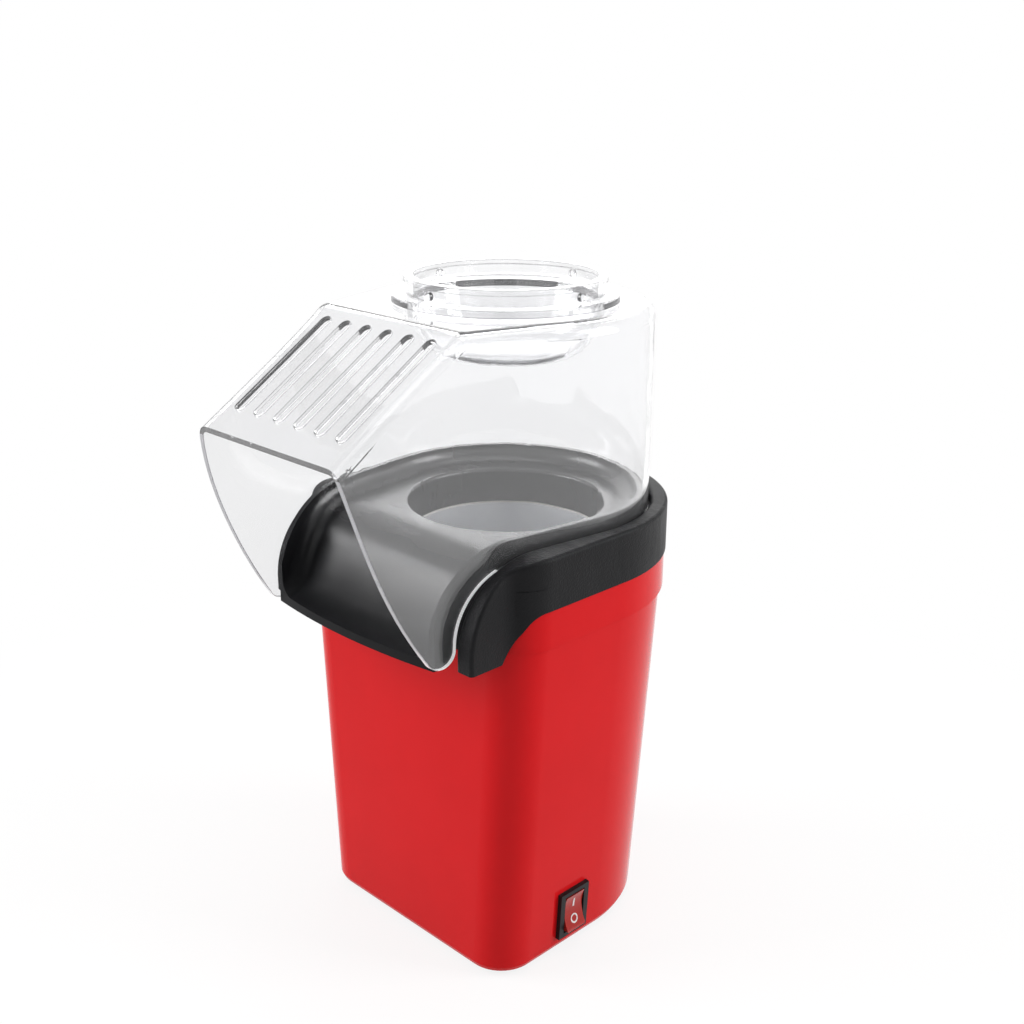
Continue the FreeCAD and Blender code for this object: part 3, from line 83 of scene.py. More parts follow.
FLOOR_SIZE = 12.0
FLOOR_LEVEL = -0.0002
bpy.ops.mesh.primitive_plane_add(size=FLOOR_SIZE, location=(0, 0, FLOOR_LEVEL))
floor = bpy.context.object
floor.name = "paper_floor"
print("floor:", floor.name, "at", FLOOR_LEVEL)

# %% Helpers for paper and room


def emission(tree, strength):
    node = tree.nodes.new("ShaderNodeEmission")
    node.inputs["Color"].default_value = (1, 1, 1, 1)
    node.inputs["Strength"].default_value = strength
    return node


def diffuse(tree, level):
    node = tree.nodes.new("ShaderNodeBsdfDiffuse")
    node.inputs["Color"].default_value = (level, level, level, 1)
    return node


def greater(tree, first, second):
    node = tree.nodes.new("ShaderNodeMath")
    node.operation = "MAXIMUM"
    tree.links.new(first, node.inputs[0])
    tree.links.new(second, node.inputs[1])
    return node.outputs[0]


def mixed(tree, share, first, second):
    node = tree.nodes.new("ShaderNodeMixShader")
    tree.links.new(share, node.inputs["Fac"])
    tree.links.new(first, node.inputs[1])
    tree.links.new(second, node.inputs[2])
    return node.outputs[0]


print("helpers for paper and room are ready")

# %% Paper
PAPER_LIT, PAPER_GLOW, PAPER_BOUNCE = 0.16, 0.84, 0.78
FULL_WHITE = 1.0
FADE_START, FADE_END = 0.14, 0.40
paper = bpy.data.materials.new("white_paper")
paper.use_nodes = True
tree = paper.node_tree
tree.nodes.clear()
near_paper = tree.nodes.new("ShaderNodeAddShader")
tree.links.new(diffuse(tree, PAPER_LIT).outputs[0], near_paper.inputs[0])
tree.links.new(emission(tree, PAPER_GLOW).outputs[0], near_paper.inputs[1])
where = tree.nodes.new("ShaderNodeTexCoord")
away = tree.nodes.new("ShaderNodeVectorMath")
away.operation = "LENGTH"
fade = tree.nodes.new("ShaderNodeMapRange")
fade.inputs["From Min"].default_value = FADE_START
fade.inputs["From Max"].default_value = FADE_END
tree.links.new(where.outputs["Object"], away.inputs[0])
tree.links.new(away.outputs["Value"], fade.inputs["Value"])
paths = tree.nodes.new("ShaderNodeLightPath")
seen = greater(tree, paths.outputs["Is Camera Ray"], paths.outputs["Is Glossy Ray"])
seen = greater(tree, seen, paths.outputs["Is Transmission Ray"])
far_paper = emission(tree, FULL_WHITE)
white_paper = mixed(tree, fade.outputs["Result"], near_paper.outputs[0], far_paper.outputs[0])
out = tree.nodes.new("ShaderNodeOutputMaterial")
bounce = diffuse(tree, PAPER_BOUNCE)
tree.links.new(mixed(tree, seen, bounce.outputs[0], white_paper), out.inputs["Surface"])
floor.data.materials.append(paper)
print("floor:", FLOOR_SIZE, "m of white paper")

# %% [markdown]
# ## The room
# Gloss shows the room around it. A picture of a studio could stand in for the room; here
# the walls are white and fall to grey at the ceiling, which is enough to shade the clear
# hood and the deck. The eye sees white, and the light that it gives is set apart.

# %% Room
ROOM_LIGHT = 0.36
CEILING_LIGHT = 0.5
WALL_TOP, CEILING_START = 0.42, 0.77
room = bpy.data.worlds.new("white_room")
bpy.context.scene.world = room
room.use_nodes = True
tree = room.node_tree
tree.nodes.clear()


def background(tree, strength):
    node = tree.nodes.new("ShaderNodeBackground")
    node.inputs["Color"].default_value = (1, 1, 1, 1)
    node.inputs["Strength"].default_value = strength
    return node


where = tree.nodes.new("ShaderNodeTexCoord")
split = tree.nodes.new("ShaderNodeSeparateXYZ")
wall = tree.nodes.new("ShaderNodeMapRange")
wall.interpolation_type = "SMOOTHSTEP"
wall.inputs["From Min"].default_value = WALL_TOP
wall.inputs["From Max"].default_value = CEILING_START
wall.inputs["To Min"].default_value = FULL_WHITE
wall.inputs["To Max"].default_value = CEILING_LIGHT
mirrored = background(tree, FULL_WHITE)
tree.links.new(where.outputs["Generated"], split.inputs[0])
tree.links.new(split.outputs["Z"], wall.inputs["Value"])
tree.links.new(wall.outputs["Result"], mirrored.inputs["Strength"])
paths = tree.nodes.new("ShaderNodeLightPath")
shown = greater(tree, paths.outputs["Is Glossy Ray"], paths.outputs["Is Transmission Ray"])
lighting = mixed(tree, shown, background(tree, ROOM_LIGHT).outputs[0], mirrored.outputs[0])
backdrop = background(tree, FULL_WHITE)
seen = mixed(tree, paths.outputs["Is Camera Ray"], lighting, backdrop.outputs[0])
out = tree.nodes.new("ShaderNodeOutputWorld")
tree.links.new(seen, out.inputs["Surface"])
print("room: white, light", ROOM_LIGHT)

# %% [markdown]
# ## Lamps and card
# Two large soft lamps light the front and the side, so that the near corner between them
# stays a little darker. Two weak ones lift the back and the top. A dark card behind the
# camera is seen by gloss alone and keeps the black plastic black.

# %% Lamps
AIM = Vector((0, 0.02, 0.14))


def soft_lamp(name, place, wide, high, watts):
    place = Vector(place)
    bpy.ops.object.light_add(type="AREA", location=place)
    lamp = bpy.context.object
    lamp.name = name
    lamp.data.shape = "RECTANGLE"
    lamp.data.size = wide
    lamp.data.size_y = high
    lamp.data.energy = watts
    lamp.rotation_mode = "QUATERNION"
    lamp.rotation_quaternion = (AIM - place).to_track_quat("-Z", "Y")
    print("lamp:", name, watts, "W")


soft_lamp("left_soft_box", place=(-0.90, -0.98, 0.68), wide=0.8, high=0.9, watts=15)
soft_lamp("right_soft_box", place=(1.09, 0.79, 0.72), wide=0.6, high=1.0, watts=13)
soft_lamp("back_soft_box", place=(-1.05, 1.25, 0.78), wide=1.0, high=0.8, watts=4)
soft_lamp("top_soft_box", place=(0.05, 0.15, 1.3), wide=0.9, high=0.9, watts=4)

# %% Dark card behind the camera, which only gloss can see
CARD_REACH, CARD_WIDE, CARD_HIGH = 2.6, 0.75, 1.6
FELT_COLOUR, FELT_ROUGHNESS = (0.02, 0.02, 0.02, 1), 0.9
bpy.ops.mesh.primitive_plane_add(size=1.0, location=CAMERA_PLACE * CARD_REACH)
card = bpy.context.object
card.name = "dark_card"
card.rotation_mode = "QUATERNION"
card.rotation_quaternion = camera.rotation_quaternion
card.scale = (CARD_WIDE, CARD_HIGH, 1.0)
card.visible_camera = card.visible_diffuse = False
card.visible_transmission = card.visible_shadow = False
felt = bpy.data.materials.new("dark_felt")
felt.use_nodes = True
shader = felt.node_tree.nodes["Principled BSDF"]
shader.inputs["Base Color"].default_value = FELT_COLOUR
shader.inputs["Roughness"].default_value = FELT_ROUGHNESS
card.data.materials.append(felt)
print("card:", card.name, "behind the camera")

# %% [markdown]
# ## Shared effects
# A few things happen on many surfaces: the fine grain that a spark-eroded mould
# leaves, the faint difference in gloss where hands and packing have touched, a slow
# drift of colour, the lines of drawn or brushed metal, and the dark line along an edge
# of clear plastic, which is painted shade. They could be drawn anew in each material.
# Node groups were chosen, since each is built once, reads the piece's own place, and is set
# anew in each finish.

# %% Group helpers


def open_group(name, inputs, outputs):
    group = bpy.data.node_groups.new(name, "ShaderNodeTree")
    for label, kind, start in inputs:
        socket = group.interface.new_socket(label, in_out="INPUT", socket_type=kind)
        socket.default_value = start
    for label, kind in outputs:
        group.interface.new_socket(label, in_out="OUTPUT", socket_type=kind)
    return group, group.nodes.new("NodeGroupInput"), group.nodes.new("NodeGroupOutput")


def noise(tree, detail, rough):
    node = tree.nodes.new("ShaderNodeTexNoise")
    node.inputs["Detail"].default_value = detail
    node.inputs["Roughness"].default_value = rough
    return node


FLOAT, COLOUR, VECTOR = "NodeSocketFloat", "NodeSocketColor", "NodeSocketVector"
print("helpers for node groups are ready")

# %% Mould grain: small pits, given as a height
PIT_SOFTNESS, PIT_SHARE = 0.6, 0.6
grain, given, put = open_group("mould_grain", [("Scale", FLOAT, 2000.0)], [("Height", FLOAT)])
where = grain.nodes.new("ShaderNodeTexCoord")
pits = grain.nodes.new("ShaderNodeTexVoronoi")
pits.feature = "SMOOTH_F1"
pits.inputs["Smoothness"].default_value = PIT_SOFTNESS
fuzz = noise(grain, detail=2.0, rough=0.55)
blend = grain.nodes.new("ShaderNodeMath")
blend.operation = "MULTIPLY_ADD"
blend.inputs[1].default_value = PIT_SHARE
grain.links.new(where.outputs["Object"], pits.inputs["Vector"])
grain.links.new(where.outputs["Object"], fuzz.inputs["Vector"])
grain.links.new(given.outputs["Scale"], pits.inputs["Scale"])
grain.links.new(given.outputs["Scale"], fuzz.inputs["Scale"])
grain.links.new(pits.outputs["Distance"], blend.inputs[0])
grain.links.new(fuzz.outputs["Fac"], blend.inputs[2])
grain.links.new(blend.outputs[0], put.inputs["Height"])
print("group:", grain.name)

# %% Handling marks: roughness that drifts between two values, with faint wipes in it
WIPE_TURN, WIPE_STRETCH = (0.3, 0.5, 0.7), (1.0, 6.0, 1.0)
WIPE_LOW, WIPE_HIGH = 0.12, 0.40
marks, given, put = open_group(
    "handling_marks",
    [("Low", FLOAT, 0.2), ("High", FLOAT, 0.3), ("Scale", FLOAT, 40.0)],
    [("Roughness", FLOAT)],
)
where = marks.nodes.new("ShaderNodeTexCoord")
broad = noise(marks, detail=3.0, rough=0.6)
wipes = noise(marks, detail=2.0, rough=0.7)
stretch = marks.nodes.new("ShaderNodeMapping")
stretch.inputs["Rotation"].default_value = WIPE_TURN
stretch.inputs["Scale"].default_value = WIPE_STRETCH
mean = marks.nodes.new("ShaderNodeMath")
mean.operation = "MULTIPLY"
reach = marks.nodes.new("ShaderNodeMapRange")
reach.inputs["From Min"].default_value = WIPE_LOW
reach.inputs["From Max"].default_value = WIPE_HIGH
marks.links.new(where.outputs["Object"], broad.inputs["Vector"])
marks.links.new(where.outputs["Object"], stretch.inputs["Vector"])
marks.links.new(stretch.outputs["Vector"], wipes.inputs["Vector"])
marks.links.new(given.outputs["Scale"], broad.inputs["Scale"])
marks.links.new(given.outputs["Scale"], wipes.inputs["Scale"])
marks.links.new(broad.outputs["Fac"], mean.inputs[0])
marks.links.new(wipes.outputs["Fac"], mean.inputs[1])
marks.links.new(mean.outputs[0], reach.inputs["Value"])
marks.links.new(given.outputs["Low"], reach.inputs["To Min"])
marks.links.new(given.outputs["High"], reach.inputs["To Max"])
marks.links.new(reach.outputs["Result"], put.inputs["Roughness"])
print("group:", marks.name)

# %% Colour drift: a slow change between two shades of one colour
CLOUD_LOW, CLOUD_HIGH = 0.35, 0.65
drift, given, put = open_group(
    "colour_drift",
    [("Shade", COLOUR, (0.5, 0.5, 0.5, 1)), ("Other", COLOUR, (0.4, 0.4, 0.4, 1)),
     ("Scale", FLOAT, 12.0)],
    [("Color", COLOUR)],
)
where = drift.nodes.new("ShaderNodeTexCoord")
clouds = noise(drift, detail=4.0, rough=0.6)
spread = drift.nodes.new("ShaderNodeMapRange")
spread.inputs["From Min"].default_value = CLOUD_LOW
spread.inputs["From Max"].default_value = CLOUD_HIGH
mix = drift.nodes.new("ShaderNodeMix")
mix.data_type = "RGBA"
drift.links.new(where.outputs["Object"], clouds.inputs["Vector"])
drift.links.new(given.outputs["Scale"], clouds.inputs["Scale"])
drift.links.new(clouds.outputs["Fac"], spread.inputs["Value"])
drift.links.new(spread.outputs["Result"], mix.inputs["Factor"])
drift.links.new(given.outputs["Shade"], mix.inputs["A"])
drift.links.new(given.outputs["Other"], mix.inputs["B"])
drift.links.new(mix.outputs["Result"], put.inputs["Color"])
print("group:", drift.name)

# %% Drawn lines: fine streaks along one direction, for rolled, drawn and brushed metal
lines, given, put = open_group(
    "drawn_lines",
    [("Scale", FLOAT, 200.0), ("Stretch", VECTOR, (1.0, 1.0, 20.0))],
    [("Value", FLOAT)],
)
where = lines.nodes.new("ShaderNodeTexCoord")
draw = lines.nodes.new("ShaderNodeVectorMath")
draw.operation = "MULTIPLY"
streaks = noise(lines, detail=3.0, rough=0.6)
lines.links.new(where.outputs["Object"], draw.inputs[0])
lines.links.new(given.outputs["Stretch"], draw.inputs[1])
lines.links.new(draw.outputs["Vector"], streaks.inputs["Vector"])
lines.links.new(given.outputs["Scale"], streaks.inputs["Scale"])
lines.links.new(streaks.outputs["Fac"], put.inputs["Value"])
print("group:", lines.name)

# %% Edge lines: a mask along moulded edges, where a surface turns within a short reach
EDGE_SAMPLES = 6
TURN_NONE, TURN_FULL = 0.995, 0.85
turns, given, put = open_group("edge_lines", [("Reach", FLOAT, 0.0004)], [("Mask", FLOAT)])
rounded = turns.nodes.new("ShaderNodeBevel")
rounded.samples = EDGE_SAMPLES
facing = turns.nodes.new("ShaderNodeNewGeometry")
match = turns.nodes.new("ShaderNodeVectorMath")
match.operation = "DOT_PRODUCT"
either = turns.nodes.new("ShaderNodeMath")
either.operation = "ABSOLUTE"
line = turns.nodes.new("ShaderNodeMapRange")
line.inputs["From Min"].default_value = TURN_NONE
line.inputs["From Max"].default_value = TURN_FULL
turns.links.new(given.outputs["Reach"], rounded.inputs["Radius"])
turns.links.new(rounded.outputs["Normal"], match.inputs[0])
turns.links.new(facing.outputs["Normal"], match.inputs[1])
turns.links.new(match.outputs["Value"], either.inputs[0])
turns.links.new(either.outputs[0], line.inputs["Value"])
turns.links.new(line.outputs["Result"], put.inputs["Mask"])
print("group:", turns.name)

# %% [markdown]
# ## Finishes
# Each slot of the frame gets its own finish. A moulded piece is a colour that drifts
# a little, a roughness that changes where it was touched, and a grain that bumps the
# surface. Metal swaps the grain for drawn lines. Clear plastic lets light through.

# %% Helpers for a finish
MOULDED_DRIFT, MOULDED_PATCH = 14.0, 40.0
METAL_DRIFT, METAL_PATCH = 60.0, 90.0


def new_finish(name):
    material = bpy.data.materials.new(name)
    material.use_nodes = True
    tree = material.node_tree
    tree.nodes.clear()
    shader = tree.nodes.new("ShaderNodeBsdfPrincipled")
    out = tree.nodes.new("ShaderNodeOutputMaterial")
    tree.links.new(shader.outputs["BSDF"], out.inputs["Surface"])
    return material, tree, shader


def put_group(tree, group, **values):
    node = tree.nodes.new("ShaderNodeGroup")
    node.node_tree = group
    for label, given_value in values.items():
        node.inputs[label].default_value = given_value
    return node


def bump_from(tree, shader, height, depth):
    bump = tree.nodes.new("ShaderNodeBump")
    bump.inputs["Strength"].default_value = 1.0
    bump.inputs["Distance"].default_value = depth
    tree.links.new(height, bump.inputs["Height"])
    tree.links.new(bump.outputs["Normal"], shader.inputs["Normal"])


def colour(red, green, blue):
    return (red, green, blue, 1.0)


def moulded(name, shade, other, low, high, grain_scale, grain_depth, gloss=0.5):
    material, tree, shader = new_finish(name)
    tint = put_group(tree, drift, Shade=shade, Other=other, Scale=MOULDED_DRIFT)
    touch = put_group(tree, marks, Low=low, High=high, Scale=MOULDED_PATCH)
    pits = put_group(tree, grain, Scale=grain_scale)
    tree.links.new(tint.outputs["Color"], shader.inputs["Base Color"])
    tree.links.new(touch.outputs["Roughness"], shader.inputs["Roughness"])
    bump_from(tree, shader, pits.outputs["Height"], grain_depth)
    shader.inputs["Specular IOR Level"].default_value = gloss
    return material


def metal(name, shade, other, low, high, scale, stretch, depth):
    material, tree, shader = new_finish(name)
    tint = put_group(tree, drift, Shade=shade, Other=other, Scale=METAL_DRIFT)
    touch = put_group(tree, marks, Low=low, High=high, Scale=METAL_PATCH)
    streaks = put_group(tree, lines, Scale=scale, Stretch=stretch)
    tree.links.new(tint.outputs["Color"], shader.inputs["Base Color"])
    tree.links.new(touch.outputs["Roughness"], shader.inputs["Roughness"])
    bump_from(tree, shader, streaks.outputs["Value"], depth)
    shader.inputs["Metallic"].default_value = 1.0
    return material


CLEAR_DRIFT, CLEAR_PATCH, WAVE_STRETCH = 10.0, 25.0, (1.0, 1.0, 0.6)
CLEAR_IOR, CLEARNESS = 1.49, 0.97
SKIN_COAT, COAT_IOR = 0.25, 1.6
LIGHT_LET_THROUGH = (0.9, 0.9, 0.91, 1.0)
# dark grey painted into the base colour along the edges of clear plastic, as painted shade
PAINTED_EDGE_SHADE = (0.06, 0.06, 0.065, 1.0)
EDGE_REACH = 0.0007


def clear(name, shade, other, low, high, wave_scale, wave_depth):
    material, tree, shader = new_finish(name)
    tint = put_group(tree, drift, Shade=shade, Other=other, Scale=CLEAR_DRIFT)
    edge = put_group(tree, turns, Reach=EDGE_REACH)
    # painted shade: the base colour turns dark grey where the edge mask is high
    darker = tree.nodes.new("ShaderNodeMix")
    darker.data_type = "RGBA"
    darker.inputs["B"].default_value = PAINTED_EDGE_SHADE
    tree.links.new(edge.outputs["Mask"], darker.inputs["Factor"])
    tree.links.new(tint.outputs["Color"], darker.inputs["A"])
    touch = put_group(tree, marks, Low=low, High=high, Scale=CLEAR_PATCH)
    waves = put_group(tree, lines, Scale=wave_scale, Stretch=WAVE_STRETCH)
    tree.links.new(darker.outputs["Result"], shader.inputs["Base Color"])
    tree.links.new(touch.outputs["Roughness"], shader.inputs["Roughness"])
    bump_from(tree, shader, waves.outputs["Value"], wave_depth)
    shader.inputs["IOR"].default_value = CLEAR_IOR
    shader.inputs["Transmission Weight"].default_value = CLEARNESS
    shader.inputs["Coat Weight"].default_value = SKIN_COAT
    shader.inputs["Coat IOR"].default_value = COAT_IOR
    shader.inputs["Coat Roughness"].default_value = 0.0
    paths = tree.nodes.new("ShaderNodeLightPath")
    unbent = tree.nodes.new("ShaderNodeBsdfTransparent")
    unbent.inputs["Color"].default_value = LIGHT_LET_THROUGH
    passing = greater(tree, paths.outputs["Is Shadow Ray"], paths.outputs["Is Diffuse Ray"])
    surface = mixed(tree, passing, shader.outputs["BSDF"], unbent.outputs["BSDF"])
    tree.links.new(surface, tree.nodes["Material Output"].inputs["Surface"])
    return material


finishes = {}
print("helpers for moulded, metal and clear finishes are ready")

# %% [markdown]
# ## The housing
# The housing is one red moulding from a polished mould, so it mirrors the room. Its
# colour could be one flat value. A slow drift between two close reds was chosen, since
# a large plain wall of one value looks drawn and not moulded.

# %% Housing: glossy red shell
finishes["red_shell"] = moulded(
    "glossy_red_shell", colour(0.65, 0.0085, 0.0115), colour(0.61, 0.0075, 0.010),
    low=0.07, high=0.15, grain_scale=420.0, grain_depth=0.000006, gloss=0.08,
)
print("housing:", finishes["red_shell"].name)

# %% [markdown]
# ## Collar and tray
# Both are black plastic. The collar's mould was etched to a coarse grain, which hides
# finger marks and sparkles at its edges; the tray is smooth, so that popcorn slides off
# it. The grain could be modelled, but it is far too fine, so one helper bumps it on.

# %% Collar and tray: black plastic, one grained, one smoother
finishes["black_satin"] = moulded(
    "grained_black_collar", colour(0.010, 0.010, 0.011), colour(0.007, 0.007, 0.008),
    low=0.40, high=0.54, grain_scale=1500.0, grain_depth=0.00015, gloss=0.14,
)
finishes["black_tray"] = moulded(
    "smooth_black_tray", colour(0.010, 0.010, 0.011), colour(0.007, 0.007, 0.008),
    low=0.42, high=0.55, grain_scale=1500.0, grain_depth=0.000003, gloss=0.08,
)
print("black plastic:", finishes["black_satin"].name, "and", finishes["black_tray"].name)

# %% [markdown]
# ## The polish of the deck
# The flat deck under the hood mirrors the pale room, and the chute in front of it stays
# dark. Two materials would leave a hard line between them, so one material gets a clear
# coat whose weight rises along Y, from nothing on the chute to full on the deck.

# %% The deck of the tray is polished, and the polish ends where the chute falls away


def rise_along_y(tree, start, end, top=1.0, kind="LINEAR"):
    where = tree.nodes.new("ShaderNodeTexCoord")
    split = tree.nodes.new("ShaderNodeSeparateXYZ")
    rise = tree.nodes.new("ShaderNodeMapRange")
    rise.interpolation_type = kind
    rise.inputs["From Min"].default_value = start
    rise.inputs["From Max"].default_value = end
    rise.inputs["To Max"].default_value = top
    tree.links.new(where.outputs["Object"], split.inputs[0])
    tree.links.new(split.outputs["Y"], rise.inputs["Value"])
    return rise.outputs["Result"]


POLISH_START, POLISH_END = -0.049, -0.030
DECK_COAT, DECK_ROUGHNESS = 0.85, 0.24
tree = finishes["black_tray"].node_tree
shader = tree.nodes["Principled BSDF"]
polish = rise_along_y(tree, POLISH_START, POLISH_END, top=DECK_COAT, kind="SMOOTHSTEP")
tree.links.new(polish, shader.inputs["Coat Weight"])
shader.inputs["Coat Roughness"].default_value = DECK_ROUGHNESS
shader.inputs["Coat IOR"].default_value = COAT_IOR
print("tray: polished behind y =", POLISH_END)

# %% [markdown]
# ## Hood and cup
# Both are clear moulded plastic, which bends what is seen through it. The dark line along
# its edges is painted shade, a dark grey mixed into the base colour. Plain glass would also
# throw sharp spots of light on the tray, which take many samples to come out smooth. So the
# rays that only carry light and shade pass straight through, and the rays that the eye
# follows are bent as in the real piece.

# %% Hood and cup: clear plastic
finishes["clear_hood"] = clear(
    "clear_hood_plastic", colour(0.985, 0.985, 0.99), colour(0.975, 0.977, 0.985),
    low=0.0, high=0.02, wave_scale=30.0, wave_depth=0.000002,
)
finishes["clear_cup"] = clear(
    "clear_cup_plastic", colour(0.985, 0.985, 0.99), colour(0.975, 0.977, 0.985),
    low=0.0, high=0.02, wave_scale=40.0, wave_depth=0.000002,
)
print("clear plastic:", finishes["clear_hood"].name, "and", finishes["clear_cup"].name)

# %% [markdown]
# ## Hot parts
# Corn pops in a spun aluminium chamber, above a heater wire that is wound on mica. Spun
# and rolled metal shows fine lines in the direction of its making. A picture of brushed
# metal could give them; a noise that is stretched one way does it without any picture.

# %% Hot parts: popping chamber, duct, heater, mica and gasket
finishes["alloy"] = metal(
    "spun_aluminium", colour(0.83, 0.84, 0.85), colour(0.76, 0.77, 0.79),
    low=0.42, high=0.56, scale=260.0, stretch=(0.15, 0.15, 8.0), depth=0.00004,
)
finishes["duct_steel"] = metal(
    "plated_sheet_steel", colour(0.62, 0.63, 0.62), colour(0.54, 0.55, 0.54),
    low=0.30, high=0.45, scale=150.0, stretch=(1.0, 1.0, 0.1), depth=0.00003,
)
finishes["heater_wire"] = metal(
    "oxidised_heater_wire", colour(0.33, 0.30, 0.29), colour(0.22, 0.20, 0.20),
    low=0.42, high=0.60, scale=900.0, stretch=(1.0, 1.0, 1.0), depth=0.00003,
)
finishes["mica"] = moulded(
    "pressed_mica", colour(0.50, 0.44, 0.34), colour(0.41, 0.35, 0.27),
    low=0.35, high=0.55, grain_scale=700.0, grain_depth=0.00006,
)
finishes["silicone"] = moulded(
    "white_silicone", colour(0.72, 0.70, 0.67), colour(0.66, 0.64, 0.60),
    low=0.50, high=0.62, grain_scale=900.0, grain_depth=0.00003,
)
print("hot parts done:", len(finishes), "finishes so far")

# %% [markdown]
# ## Fan and motor
# A small motor under the chamber turns the fan. None of it shows in the picture, but the
# part is reused with its housing open, so every piece gets the finish that it is made in:
# bare plastic, zinc, bronze, ferrite and stacked sheet.

# %% Fan and motor
finishes["fan_plastic"] = moulded(
    "grey_fan_plastic", colour(0.11, 0.11, 0.115), colour(0.09, 0.09, 0.095),
    low=0.36, high=0.50, grain_scale=1200.0, grain_depth=0.00005,
)
finishes["impeller_plastic"] = moulded(
    "ivory_impeller_plastic", colour(0.62, 0.60, 0.54), colour(0.56, 0.54, 0.48),
    low=0.30, high=0.44, grain_scale=900.0, grain_depth=0.00003,
)
finishes["motor_steel"] = metal(
    "zinc_motor_can", colour(0.66, 0.67, 0.68), colour(0.58, 0.59, 0.60),
    low=0.26, high=0.40, scale=240.0, stretch=(0.2, 0.2, 3.0), depth=0.00002,
)
finishes["end_cap"] = moulded(
    "black_end_cap", colour(0.03, 0.03, 0.03), colour(0.022, 0.022, 0.022),
    low=0.35, high=0.50, grain_scale=1500.0, grain_depth=0.00005,
)
finishes["bronze"] = metal(
    "sintered_bronze", colour(0.58, 0.38, 0.18), colour(0.48, 0.31, 0.15),
    low=0.35, high=0.50, scale=1800.0, stretch=(1.0, 1.0, 1.0), depth=0.00005,
)
finishes["magnet"] = moulded(
    "dark_ferrite", colour(0.05, 0.05, 0.055), colour(0.035, 0.035, 0.04),
    low=0.45, high=0.60, grain_scale=1600.0, grain_depth=0.00008,
)
finishes["armature"] = metal(
    "stacked_core_sheets", colour(0.40, 0.39, 0.38), colour(0.31, 0.30, 0.30),
    low=0.34, high=0.50, scale=400.0, stretch=(0.1, 0.1, 6.0), depth=0.00008,
)
finishes["shaft_steel"] = metal(
    "ground_steel", colour(0.70, 0.70, 0.71), colour(0.63, 0.63, 0.64),
    low=0.14, high=0.24, scale=500.0, stretch=(0.2, 0.2, 5.0), depth=0.00001,
)
finishes["screw_steel"] = metal(
    "zinc_screw_steel", colour(0.60, 0.60, 0.58), colour(0.50, 0.50, 0.48),
    low=0.25, high=0.42, scale=600.0, stretch=(1.0, 1.0, 1.0), depth=0.00002,
)
print("fan and motor done:", len(finishes), "finishes so far")

# %% [markdown]
# ## Electrical parts, feet and gland
# The switch has a matt black frame and a glossy red rocker, which is darker than the
# housing. Rubber is the roughest of all finishes here. The same helpers serve, because
# only colour, roughness and grain set these materials apart.

# %% Electrical parts, feet and gland
finishes["sensor"] = moulded(
    "brown_sensor_case", colour(0.10, 0.055, 0.035), colour(0.08, 0.045, 0.03),
    low=0.25, high=0.40, grain_scale=1100.0, grain_depth=0.00004,
)
finishes["board"] = moulded(
    "pressed_paper_board", colour(0.30, 0.17, 0.07), colour(0.25, 0.14, 0.055),
    low=0.40, high=0.55, grain_scale=700.0, grain_depth=0.00005,
)
finishes["diode"] = moulded(
    "black_diode_case", colour(0.025, 0.025, 0.027), colour(0.018, 0.018, 0.02),
    low=0.30, high=0.45, grain_scale=1500.0, grain_depth=0.00003,
)
finishes["terminal"] = metal(
    "tinned_brass", colour(0.74, 0.70, 0.60), colour(0.66, 0.61, 0.50),
    low=0.22, high=0.36, scale=500.0, stretch=(1.0, 0.2, 1.0), depth=0.00002,
)
finishes["foot_rubber"] = moulded(
    "grey_foot_rubber", colour(0.06, 0.06, 0.062), colour(0.045, 0.045, 0.047),
    low=0.60, high=0.75, grain_scale=1400.0, grain_depth=0.00009,
)
finishes["gland_black"] = moulded(
    "soft_black_gland", colour(0.020, 0.020, 0.021), colour(0.015, 0.015, 0.016),
    low=0.50, high=0.62, grain_scale=1500.0, grain_depth=0.00006,
)
finishes["switch_black"] = moulded(
    "black_switch_frame", colour(0.012, 0.012, 0.013), colour(0.009, 0.009, 0.010),
    low=0.34, high=0.46, grain_scale=2400.0, grain_depth=0.00002, gloss=0.2,
)
finishes["rocker_red"] = moulded(
    "red_rocker_plastic", colour(0.42, 0.018, 0.012), colour(0.34, 0.012, 0.008),
    low=0.10, high=0.20, grain_scale=1200.0, grain_depth=0.000005, gloss=0.3,
)
print("electrical parts, feet and gland done:", len(finishes), "finishes so far")

# %% [markdown]
# ## Dressing the frame
# Each solid of the frame comes with a slot that names its material. The finishes carry
# the same names, so they could be set by hand, one by one; a loop sets them all and
# stops with an error if a slot has no finish.

# %% Put the finishes on the frame
for name, node in sorted(nodes.items()):
    for held in node.material_slots:
        held.material = finishes[held.material.name]
print("finishes:", len(finishes), "on", len(nodes), "nodes")

# %% [markdown]
# ## The marks on the rocker
# A bar and a ring are printed in thick white ink on the rocker, so that the hand knows
# which side switches on. Each starts as a flat shape, is laid on the hollow face of the
# rocker as a print would be, and then gets the small thickness of the ink.

# %% Helpers to work on one piece
MARK_START, MARK_Y = 0.070, 0.0078
INK_THICK, INK_OUTSIDE = 0.00015, 0.35
MARK_SMOOTH = math.radians(40)


def only(piece):
    bpy.ops.object.select_all(action="DESELECT")
    piece.select_set(True)
    bpy.context.view_layer.objects.active = piece


def in_edit_mode(piece, choose=None):
    only(piece)
    bpy.ops.object.mode_set(mode="EDIT")
    bpy.ops.mesh.select_mode(type="FACE")
    bpy.ops.mesh.select_all(action="DESELECT" if choose else "SELECT")
    if choose:
        bpy.ops.object.mode_set(mode="OBJECT")
        for face in piece.data.polygons:
            face.select = choose(face)
        bpy.ops.object.mode_set(mode="EDIT")


def finish_modifier(piece, kind, **settings):
    modifier = piece.modifiers.new(kind.lower(), kind)
    for label, given_value in settings.items():
        setattr(modifier, label, given_value)
    only(piece)
    bpy.ops.object.modifier_apply(modifier=modifier.name)


